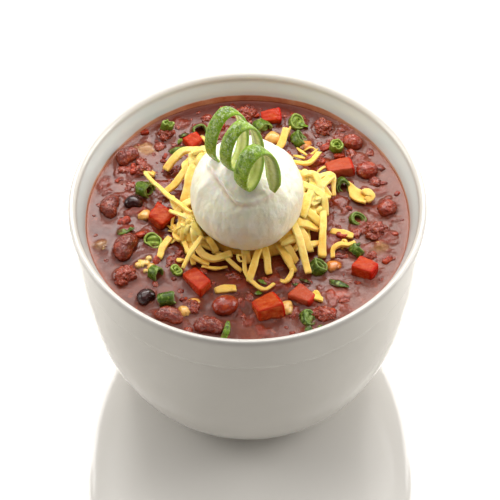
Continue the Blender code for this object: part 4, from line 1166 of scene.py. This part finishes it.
def make_corn():
    """Kernels that taper to a tip, with a dent in the broad end."""
    points, faces = ball_points(4)
    along, across = points[:, 0], points[:, 1]
    full = np.sign(points) * np.abs(points) ** 0.82
    form = [4.0 * full[:, 0], 3.1 * full[:, 1] * (1.0 - 0.32 * along), 2.5 * full[:, 2] * (1 - 0.15 * along)]
    kernel = np.stack(form, axis=1)
    kernel[:, 0] += np.exp(-((along + 0.75) / 0.3) ** 2 - (across / 0.5) ** 2) * 0.7
    batch = Batch()
    for index, (x, y, turn, orange, lift, size) in enumerate(CORN):
        places = kernel * size
        places += unit(places) * (0.24 * rough_noise(places + index * 9, 2.2, 71, 3))[:, None]
        tip = math.radians(14.0 * math.sin(index * 3.1))
        places = posed(places, turn, "Y", tip, [x, y, SOUP_Z + 0.2 + lift])
        batch.add(places, faces, orange=orange, tip=blend(0.2, 0.95, along))

    def yellows(n, colour):
        warm = n.mix(n.mark("orange"), colour, rgb(206, 112, 30))
        return n.tint(warm, "tip", 0.5, rgb(204, 112, 44))

    material = food_material(
        "corn_kernel", [rgb(228, 180, 92), rgb(240, 202, 112), rgb(248, 222, 150)], 0.3, (0.16, 0.28),
        (0.8, 0.15, 0.15), sss=(0.25, (1.0, 0.6, 0.2), 1.2), stain=(99.0, 100.8, 0.8), coat=0.15,
        extra=yellows, seed=19.0,
    )
    batch.piece("corn_kernels", material)


# The cheese.
def add_strand(batch, points, width, thickness, seed, twist, ends, sides=16):
    places, faces, edge = strip(points, width, thickness, seed, twist, sides=sides, ends=ends)
    batch.add(places, faces, edge=edge, tone=0.5 + 0.5 * math.sin(seed * 1.7))


def cheese_material():
    """Yellow strands with paler edges, each of its own lightness, and painted shade: deeper orange in patches
    and low in the heap.
    """
    def edges(n, colour):
        pale = n.tint(colour, "edge", 0.35, rgb(255, 240, 176))
        pale = n.tint(pale, "tone", 0.35, rgb(255, 238, 166))
        # Painted shade: patches of deeper orange, standing in for shade and red light in the crevices.
        deep = n.patches(pale, n.noise(0.9, 3, offset=6.0), 0.55, 0.72, 0.35, rgb(246, 176, 46))
        # Painted shade: more orange low in the heap, where less light reaches and light from the sauce falls.
        return n.mix(n.span(n.height(), 100.5, 110.0, 0.52, 0.0), deep, rgb(250, 182, 50))

    return food_material(
        "cheddar", [rgb(240, 188, 64), rgb(250, 214, 98), rgb(252, 230, 138)], 0.5, (0.30, 0.46),
        (1.6, 0.4, 0.25), sss=(0.35, (1.0, 0.5, 0.12), 1.6), extra=edges, stain=(98.6, 100.2, 0.4),
        seed=23.0, ior=1.4, shine=0.4,
    )


def over_chili(line):
    """Points given by their height over the chili, as heights over the floor."""
    return [(x, y, SOUP_Z + z) for x, y, z in line]


def search_trees(starts):
    """Search trees of the CAD nodes whose names start so."""
    meshes = [shape.data for name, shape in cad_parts.items() if name.startswith(starts)]
    return [
        BVHTree.FromPolygons([v.co.copy() for v in mesh.vertices], [tuple(p.vertices) for p in mesh.polygons])
        for mesh in meshes
    ]


def lifted(points, trees, width, thickness):
    """The points lifted until a strand through them clears what lies under it, as in the part's source."""
    for step in range(10):
        lift = 0.4 * step
        line = smooth_line([(x, y, z + lift) for x, y, z in points], 2.0)
        along = unit(np.gradient(line, axis=0))
        side = unit(np.cross(along, [0, 0, 1.0]))
        up = np.cross(side, along)
        across, over = side * (width / 2 + GAP), up * (thickness / 2 + GAP)
        rings = np.stack(
            [line + across + over, line - across + over, line - across - over, line + across - over], 1
        )
        last = 4 * (len(line) - 1)
        faces = tube_faces(len(line), 4, closed=False) + [(0, 1, 2, 3), (last, last + 1, last + 2, last + 3)]
        probe = BVHTree.FromPolygons([Vector(p) * MM for p in rings.reshape(-1, 3)], faces)
        if not any(probe.overlap(tree) for tree in trees):
            return [(x, y, z + lift) for x, y, z in points]
    return [(x, y, z + 1.2) for x, y, z in points]


def off_the_cream(points, room):
    """Pushes points out of the ball of sour cream."""
    moved = []
    for p in points:
        p = np.array(p, float)
        away = p - CREAM_CENTRE
        far = np.linalg.norm(away)
        if far < CREAM_RADIUS + room:
            flat = away * [1, 1, 0.35]
            p = CREAM_CENTRE + away + unit(flat) * (CREAM_RADIUS + room - far)
        moved.append(tuple(p))
    return moved


def heap_core(batch):
    """The low uneven body and the mounds that the strands lie on."""
    cx, cy, low, high, top = CORE
    profile = [
        (0.0, SOUP_Z + 0.3), (low, SOUP_Z + 0.3), (low, SOUP_Z + 1.2), (low - 0.6, SOUP_Z + 2.4),
        (high - 0.6, SOUP_Z + 5.0), (high - 2.5, top + 0.2),
    ]
    profile += [(r, top + 0.4) for r in (20, 16, 12, 8, 4)] + [(0.0, top + 0.4)]
    dense = []
    for a, b in zip(profile, profile[1:]):
        steps = max(1, round(math.dist(a, b) / 1.2))
        dense += [(a[0] + (b[0] - a[0]) * k / steps, a[1] + (b[1] - a[1]) * k / steps) for k in range(steps)]
    dense.append(profile[-1])
    places, faces = turned(dense, 110)
    places += [cx, cy, 0]
    places += unit(places - [cx, cy, SOUP_Z]) * (0.7 * rough_noise(places, 3.5, 81, 3) - 0.9)[:, None]
    places[:, 2] = np.maximum(places[:, 2], SOUP_Z + 0.3)
    batch.add(places, faces, edge=0.0)
    points, ball_faces = ball_points(5)
    for x, y, z, a, b, c in MOUNDS:
        shape = points * [a - 1.0, b - 1.0, c - 1.0] + [x, y, SOUP_Z + z]
        shape += points * (0.8 * rough_noise(shape, 3.2, 83, 3))[:, None]
        shape[:, 2] = np.maximum(shape[:, 2], SOUP_Z + 0.3)
        batch.add(shape, ball_faces, edge=0.0)


def make_cheese():
    """The heap: its core, the strands of the part's source, and more of them over its mounds and foot."""
    rng = random.Random(11)
    obstacles = search_trees(("chili", "tomato", "red_bean", "kidney", "black"))
    batch = Batch()
    heap_core(batch)
    for number, line in enumerate(HEAP_STRANDS):
        line = lifted(over_chili(line), obstacles, STRAND_WIDTH, STRAND_THICKNESS)
        thin = number in THIN_STRANDS
        width = STRAND_WIDTH * (rng.uniform(0.52, 0.66) if thin else rng.uniform(0.84, 1.10))
        width *= BROADER if number in BROAD_STRANDS else 1.0
        thick = STRAND_THICKNESS * (rng.uniform(0.6, 0.75) if thin else rng.uniform(0.90, 1.25))
        twist = rng.uniform(-0.4, 0.4)
        add_strand(batch, line, width, thick, number, twist, (rng.uniform(0.8, 1), rng.uniform(0.75, 1)))
    number = len(HEAP_STRANDS)
    for (x, y, z, a, b, c), (narrow, broad) in zip(MOUNDS, MOUND_WIDTHS):
        for _ in range(STRANDS_ON_MOUNDS):
            azimuth, rise = rng.uniform(0, TAU), rng.uniform(0.15, 1.35)
            heading, length = rng.uniform(0, TAU), rng.uniform(4, 9) if broad > 5.5 else rng.uniform(5, 13)
            line = []
            for k in (-0.5, -0.17, 0.17, 0.5):
                turn = azimuth + math.cos(heading) * k * length / max(a, b)
                up = rise + math.sin(heading) * k * length / max(a, b)
                curl = 1.03 + 0.10 * rng.uniform(-1, 1)
                level = curl * math.cos(up)
                height = max(SOUP_Z + 1.3, SOUP_Z + z + c * curl * math.sin(up))
                line.append((x + a * level * math.cos(turn), y + b * level * math.sin(turn), height))
            line = off_the_cream(line, 1.4)
            ends = (rng.uniform(0.6, 1), rng.uniform(0.5, 1))
            width, thick, twist = rng.uniform(narrow, broad), rng.uniform(1.3, 2.1), rng.uniform(-0.7, 0.7)
            add_strand(batch, line, width, thick, number, twist, ends)
            number += 1
    for _ in range(STRANDS_ROUND_HEAP):
        around = math.radians(rng.uniform(-50, 230))
        radius = rng.uniform(22, 32)
        turn = around + rng.uniform(0.15, 0.85) * math.pi
        half = rng.uniform(4, 8)
        z = SOUP_Z + 1.6 + max(0.0, 8 - abs(radius - 24)) * rng.uniform(0.1, 0.8)
        x, y = radius * math.cos(around), radius * math.sin(around)
        dx, dy = half * math.cos(turn), half * math.sin(turn)
        end = (x + dx, y + dy, max(z - 1.4, SOUP_Z + 1.2))
        line = [(x - dx, y - dy, z + 0.6), (x + dy * 0.15, y - dx * 0.15, z + 1.0), end]
        line = lifted(off_the_cream(line, 1.4), obstacles, 3.0, 1.8)
        fine = number % 3 == 0
        width = rng.uniform(1.1, 1.7) if fine else rng.uniform(2.0, 3.8)
        thick = width * 0.75 if fine else rng.uniform(1.3, 2.0)
        twist = rng.uniform(-0.6, 0.6)
        add_strand(batch, line, width, thick, number, twist, (rng.uniform(0.6, 1), rng.uniform(0.5, 1)))
        number += 1
    material = cheese_material()
    batch.piece("cheese_strands", material, ["cheese"])
    loose = Batch()
    for index, (line, width) in enumerate(LOOSE_STRANDS):
        ends = (0.2, 0.9) if index == POINTED else (0.8, 0.9)
        add_strand(loose, over_chili(line), width, 1.7, 400 + index, 0.4, ends)
    for index, (line, width) in enumerate(CHEESE_SHREDS):
        add_strand(loose, over_chili(line), width, max(0.8, width * 0.6), 430 + index, 0.9, (0.55, 0.6), 12)
    loose.piece("loose_cheese", material)


# The sour cream.
# The cap of cream under the spiral: for each turn in degrees, how far down its edge lies, in degrees, and how
# high it stands, in mm.
CAP_TURNS = (-180, -167, -146, -127, -113, -103, -90, -75, -63, -51, -30, 0, 60, 120, 160, 180)
CAP_EDGE = (42, 37, 35.6, 39, 45, 50, 51, 50, 48.5, 46, 38, 30, 26, 30, 44, 42)
CAP_HEIGHT = (0.8, 1.2, 2.2, 2.6, 2.6, 2.0, 1.2, 0.8, 0.8, 0.7, 0.5, 0.5, 0.5, 0.5, 0.6, 0.8)
# Soft ridges down the ball: turn in degrees, width in degrees, height in mm, from and to in degrees down.
CREAM_RIDGES = (
    (-39, 4.0, 0.5, 40, 70), (-14, 8.0, 0.3, 40, 85),
    (-156, 5.0, 1.0, 42, 72), (-178, 6.0, 0.5, 40, 80), (-126, 4.0, 0.25, 60, 92), (30, 7.0, 0.5, 30, 90),
    (95, 9.0, 0.5, 30, 85),
)


def make_cream():
    rows, columns = 150, 300
    foot = math.acos((CREAM_FLAT_Z - CREAM_CENTRE[2]) / CREAM_RADIUS)
    down = foot * (np.arange(1, rows + 1) / rows)[:, None]
    around = (np.arange(columns) * TAU / columns)[None, :]
    fold = np.cos(around - math.radians(215) - 1.5 * down)
    crest = np.maximum(0, fold) ** 4 * np.sin(np.minimum(math.pi, down * 2.0))
    radius = CREAM_RADIUS + 0.7 * crest + 0.9 * np.exp(-((down / 0.5) ** 2))
    turn = (np.degrees(around) + 180) % 360 - 180
    low = np.degrees(down)
    edge = np.interp(turn, CAP_TURNS, CAP_EDGE)
    height = np.interp(turn, CAP_TURNS, CAP_HEIGHT)
    inside = 1 - blend(-2.5, 3.5, low - edge)
    radius = radius + 0.30 * height * inside
    radius = radius + 0.62 * height * np.exp(-(((low - edge + 1.5) / 2.2) ** 2))
    radius = radius - 0.50 * height * np.exp(-(((low - edge - 3.4) / 2.8) ** 2))
    # Where the painted shade of the crease lies, just below the cap's edge.
    crease = height / max(CAP_HEIGHT) * np.exp(-(((low - edge - 2.6) / 2.0) ** 2))
    for at, width, tall, start, stop in CREAM_RIDGES:
        off = (turn - at + 180) % 360 - 180
        reach = blend(start - 8, start + 8, low) * (1 - blend(stop - 14, stop + 6, low))
        radius = radius + tall * reach * np.exp(-((off * np.sin(down) / width) ** 2))
    across, deep = np.sin(down) * np.cos(around), np.sin(down) * np.sin(around)
    direction = np.stack([across, deep, np.cos(down) * np.ones_like(around)], axis=-1)
    places = CREAM_CENTRE + direction * radius[..., None]
    girth = CREAM_RADIUS * np.stack([across, deep, 0.16 * down + 0 * around], axis=-1)
    uneven = 0.25 * smooth_noise(places, 9, 91) + 0.09 * rough_noise(places, 3.0, 92, 2)
    uneven = uneven + 0.15 * smooth_noise(girth, 1.8, 93) + 0.10 * smooth_noise(girth * [1, 1, 1.6], 0.8, 94)
    uneven = uneven + 0.35 * smooth_noise(girth * [1, 1, 2.5], 6.0, 97)
    places = places + direction * uneven[..., None]
    places[-1, :, 2] = CREAM_FLAT_Z
    bottom = [CREAM_CENTRE[0], CREAM_CENTRE[1], CREAM_FLAT_Z]
    ends = np.array([CREAM_CENTRE + [0, 0, CREAM_RADIUS + 1.2], bottom])
    crease = np.concatenate([crease.ravel(), [0, 0]])
    batch = Batch()
    batch.add(np.concatenate([places.reshape(-1, 3), ends]), tube_faces(rows, columns), crease=crease)

    def folds(n, colour):
        # Painted light: pinker near the top, to cancel the green cast of light bounced from the spiral.
        colour = n.mix(n.span(n.height(), 130.0, 142.0, 0.0, 0.8), colour, rgb(255, 242, 236))
        # Painted light: warmer and yellower low down, standing in for light bounced from the sauce and
        # cheese.
        colour = n.mix(n.span(n.height(), 104.0, 112.0, 0.35, 0.0), colour, rgb(255, 240, 198))
        # An orange patch in streaks, low on the front of the ball.
        orange_spot = n.new("ShaderNodeVectorMath")
        orange_spot.operation = "DISTANCE"
        n.link(n.where, orange_spot.inputs[0])
        orange_spot.inputs[1].default_value = (0.003, -0.019, 0.106)
        near = n.span(orange_spot.outputs["Value"], 0.001, 0.006, 1.0, 0.0)
        streaks = n.span(n.noise(0.6, 3, offset=30.0), 0.42, 0.58, 0.0, 0.5)
        colour = n.mix(n.math("MULTIPLY", near, streaks), colour, rgb(236, 176, 92))
        # Painted shade: darker and browner along the crease.
        return n.tint(colour, "crease", 0.45, rgb(206, 182, 142))

    material = food_material(
        "sour_cream", [rgb(255, 244, 212), rgb(255, 248, 222), rgb(255, 251, 230)], 0.15, (0.30, 0.46),
        (0.9, 0.45, 0.35), sss=(0.5, (1.0, 0.7, 0.35), 3.0), extra=folds, seed=27.0, ior=1.4,
    )
    batch.piece("sour_cream_ball", material, ["sour_cream"])


# The spiral.
def make_spiral():
    """One ribbon: dark skin on the outside with a rounded back, pale flesh inside with a soft ridge."""
    rows = 420
    angle = np.radians(np.linspace(LOOP_START, LOOP_END, rows))
    turns = (math.pi / 2 - angle) / TAU
    spoke = LOOP_ACROSS * (LOOP_HALF_WIDTH * np.cos(angle))[:, None]
    spoke = spoke + np.array([0, 0, 1.0]) * (LOOP_HALF_HEIGHT * np.sin(angle))[:, None]
    centre = LOOP_CENTRE + LOOP_STEP * turns[:, None] + spoke
    centre[:, 2] += LOOP_ARCH * turns * (1 - turns)
    out = unit(spoke)
    sides = 28
    theta = np.arange(sides) * TAU / sides
    x = np.sign(np.cos(theta)) * np.abs(np.cos(theta)) ** (2 / 3.4)
    y = np.sign(np.sin(theta)) * np.abs(np.sin(theta)) ** (2 / 2.6)
    back = np.where(y > 0, y * (1 - 0.18 * x**2), y * (1 - 0.25 * np.exp(-((np.abs(x) - 0.55) / 0.25) ** 2)))
    wave = smooth_noise(np.stack([np.degrees(angle) / 40, np.zeros(rows), np.zeros(rows)], axis=1), 1.0, 95)
    taper = np.minimum(1.0, 0.35 + 0.65 * np.minimum(np.arange(rows), np.arange(rows)[::-1]) / 9.0)
    broader = 1.10 + 0.07 * wave + 0.10 * blend(0.8, 1.4, turns) + 0.16 * blend(1.5, 2.0, turns)
    wide = PEEL_WIDTH / 2 * broader * taper
    thick = PEEL_THICKNESS / 2 * (0.5 + 0.5 * taper)
    deep = 0.5 * blend(0.0, 0.4, turns) + 0.9 * blend(1.5, 1.9, turns)
    flesh = np.where(y < 0, 1.0, 0.0)[None, :] * (1 - 0.6 * x[None, :] ** 2) * deep[:, None]
    ring = (
        centre[:, None, :]
        + LOOP_FACING * (x[None, :] * wide[:, None])[..., None]
        + out[:, None, :] * (back[None, :] * thick[:, None] - flesh)[..., None]
    )
    ring += out[:, None, :] * (0.10 * rough_noise(ring, 1.6, 96, 3) * (y[None, :] > 0.2))[..., None]
    ends = np.stack([ring[0].mean(0), ring[-1].mean(0)])
    skin = np.broadcast_to(blend(-0.55, 0.15, y), (rows, sides)).ravel()
    groove = np.broadcast_to(np.exp(-((x + 0.15) / 0.2) ** 2) * (y < 0), (rows, sides)).ravel()
    batch = Batch()
    batch.add(
        np.concatenate([ring.reshape(-1, 3), ends]), tube_faces(rows, sides),
        skin=np.concatenate([skin, [0.5, 0.5]]), groove=np.concatenate([groove, [0, 0]]),
        edge=np.concatenate([np.broadcast_to(blend(0.55, 0.95, np.abs(x)), (rows, sides)).ravel(), [1, 1]]),
    )

    def peel(n, colour):
        """Skin with pale and dark patches and specks, painted glints high up, painted light on the lower
        loops, green edges, and the pale flesh inside.
        """
        pale = n.patches(colour, n.noise(0.7, 5, 0.7, offset=2.0), 0.48, 0.66, 0.75, rgb(188, 204, 108))
        dark = n.patches(pale, n.noise(0.30, 4, 0.65, offset=4.0), 0.50, 0.64, 0.75, rgb(74, 106, 20))
        speck = n.mix(n.span(n.cells(1.0, offset=5.0), 0.10, 0.24, 0.8, 0.0), dark, rgb(214, 226, 178))
        # Painted highlights: pale glints on the higher loops.
        glints = n.span(n.noise(0.7, 4, 0.65, offset=12.0), 0.48, 0.66)
        high = n.span(n.height(), 154.0, 171.0, 0.0, 0.55)
        speck = n.mix(n.math("MULTIPLY", glints, high), speck, rgb(222, 232, 204))
        # Painted light: the lower loops are brighter yellow-green, lifting the shade they lie in.
        low = n.span(n.height(), 140.0, 158.0, 0.55, 0.0)
        speck = n.mix(low, speck, rgb(160, 190, 24))
        rim = n.tint(speck, "edge", 0.6, rgb(140, 180, 16))
        flesh = ((0.3, rgb(230, 232, 160)), (0.55, rgb(242, 242, 186)), (0.75, rgb(250, 250, 214)))
        inside = n.ramp(n.noise(0.5, 3, offset=9.0), *flesh)
        inside = n.tint(inside, "groove", 0.85, rgb(118, 118, 48))
        inside = n.mix(low, inside, rgb(190, 208, 76))
        inside = n.tint(inside, "edge", 0.75, rgb(134, 170, 34))
        return n.mix(n.mark("skin"), inside, rim)

    material = food_material(
        "green_chili_peel", [rgb(92, 128, 16), rgb(124, 158, 26), rgb(158, 186, 48)], 0.35, (0.24, 0.42),
        (1.0, 0.6, 0.4), sss=(0.3, (0.8, 1.0, 0.25), 1.6), extra=peel, seed=31.0, shine=0.4,
    )
    batch.piece("green_spiral", material, ["green_chili_spiral"])


# Floor, light and camera.
def make_stage():
    mesh = bpy.data.meshes.new("floor")
    half = 3.0
    steps = 24
    verts, faces = [], []
    for i in range(steps + 1):
        for j in range(steps + 1):
            verts.append((-half + 2 * half * i / steps, -half + 2 * half * j / steps, 0.0))
    for i in range(steps):
        for j in range(steps):
            a = i * (steps + 1) + j
            faces.append((a, a + steps + 1, a + steps + 2, a + 1))
    mesh.from_pydata(verts, [], faces)
    floor = bpy.data.objects.new("floor", mesh)
    bpy.context.scene.collection.objects.link(floor)
    made, tree, shader = new_material("pale_table")
    n = Nodes(tree)
    table = n.ramp(n.noise(0.002, 2), (0.3, rgb(226, 223, 218)), (0.7, rgb(230, 227, 222)))
    # Painted shade: the floor turns greyer towards the front on either side of the bowl.
    aside = n.span(n.math("ABSOLUTE", n.along("X")), 0.060, 0.110)
    ahead = n.span(n.along("Y"), -0.10, 0.02, 1.0, 0.0)
    table = n.mix(n.math("MULTIPLY", aside, ahead), table, rgb(188, 184, 178))
    n.link(table, shader.inputs["Base Color"])
    shader.inputs["Roughness"].default_value = 0.05
    shader.inputs["IOR"].default_value = 1.65
    mesh.materials.append(made)


def area_light(name, place, target, size, power, colour=(1, 1, 1)):
    light = bpy.data.lights.new(name, "AREA")
    light.shape, light.size, light.size_y = "RECTANGLE", size[0], size[1]
    light.energy, light.color = power, colour
    made = bpy.data.objects.new(name, light)
    made.location = place
    made.rotation_euler = (Vector(target) - Vector(place)).to_track_quat("-Z", "Y").to_euler()
    made.visible_camera = False
    bpy.context.scene.collection.objects.link(made)


def make_light():
    world = bpy.data.worlds.new("studio")
    bpy.context.scene.world = world
    world.use_nodes = True
    tree = world.node_tree
    background = tree.nodes["Background"]
    where = tree.nodes.new("ShaderNodeTexCoord")
    split = tree.nodes.new("ShaderNodeSeparateXYZ")
    tree.links.new(where.outputs["Generated"], split.inputs[0])
    ramp = tree.nodes.new("ShaderNodeValToRGB")
    ramp.color_ramp.elements[0].position = 0.10
    ramp.color_ramp.elements[0].color = (0.255, 0.245, 0.228, 1)
    ramp.color_ramp.elements[1].position = 0.62
    ramp.color_ramp.elements[1].color = (1.0, 0.995, 0.985, 1)
    shift = tree.nodes.new("ShaderNodeMath")
    shift.operation = "MULTIPLY_ADD"
    shift.inputs[1].default_value = 0.5
    shift.inputs[2].default_value = 0.5
    tree.links.new(split.outputs["Y"], shift.inputs[0])
    tree.links.new(shift.outputs[0], ramp.inputs["Fac"])
    tree.links.new(ramp.outputs["Color"], background.inputs["Color"])
    background.inputs["Strength"].default_value = 0.52
    target = (0, 0, 0.1)
    distance = 1.1
    for name, degrees, height, power in (("key_behind", 46.5, 0.36, 9.2), ("top_soft", 78.0, 0.6, 4.6)):
        elevation = math.radians(degrees)
        place = (0, distance * math.cos(elevation), 0.1 + distance * math.sin(elevation))
        area_light(name, place, target, (1.0, height), power, (1.0, 0.98, 0.95))
    for side, power in ((-1, 4.3), (1, 5.4)):
        area_light(f"side_{side}", (0.9 * side, 0.15, 0.45), target, (0.5, 0.7), power, (1.0, 0.985, 0.96))


def make_camera():
    """The camera at the photograph's angle, fitted to the rim and the outline."""
    elevation, roll = math.radians(49.35), math.radians(0.63)
    focal_px, middle = 3466.0, (247.5, 202.5)
    back = Vector((0, -math.cos(elevation), math.sin(elevation)))
    up = Vector((0, math.sin(elevation), math.cos(elevation)))
    place = Vector((0, 0, BOWL_HEIGHT * MM)) + back * (19.3 * RIM_RADIUS * MM)
    dx, dy = (middle[0] - 250) / focal_px, (250 - middle[1]) / focal_px
    turn = Matrix((Vector((1, 0, 0)), up, back)).transposed() @ Matrix.Rotation(-roll, 3, "Z")
    turn = turn @ Matrix.Rotation(-math.atan(dy), 3, "X") @ Matrix.Rotation(math.atan(dx), 3, "Y")
    data = bpy.data.cameras.new("camera")
    data.sensor_width = 36
    data.lens = focal_px / 500 * 36
    data.clip_start, data.clip_end = 0.05, 50
    camera = bpy.data.objects.new("camera", data)
    camera.matrix_world = Matrix.Translation(place) @ turn.to_4x4()
    bpy.context.scene.collection.objects.link(camera)
    bpy.context.scene.camera = camera


bpy.context.scene.view_settings.view_transform = "Standard"
bpy.context.scene.view_settings.look = "None"
make_camera()
make_light()
make_stage()
make_bowl()
make_soup()
make_tomatoes()
make_beans()
make_meat()
make_onion()
make_corn()
make_cheese()
make_cream()
make_spiral()
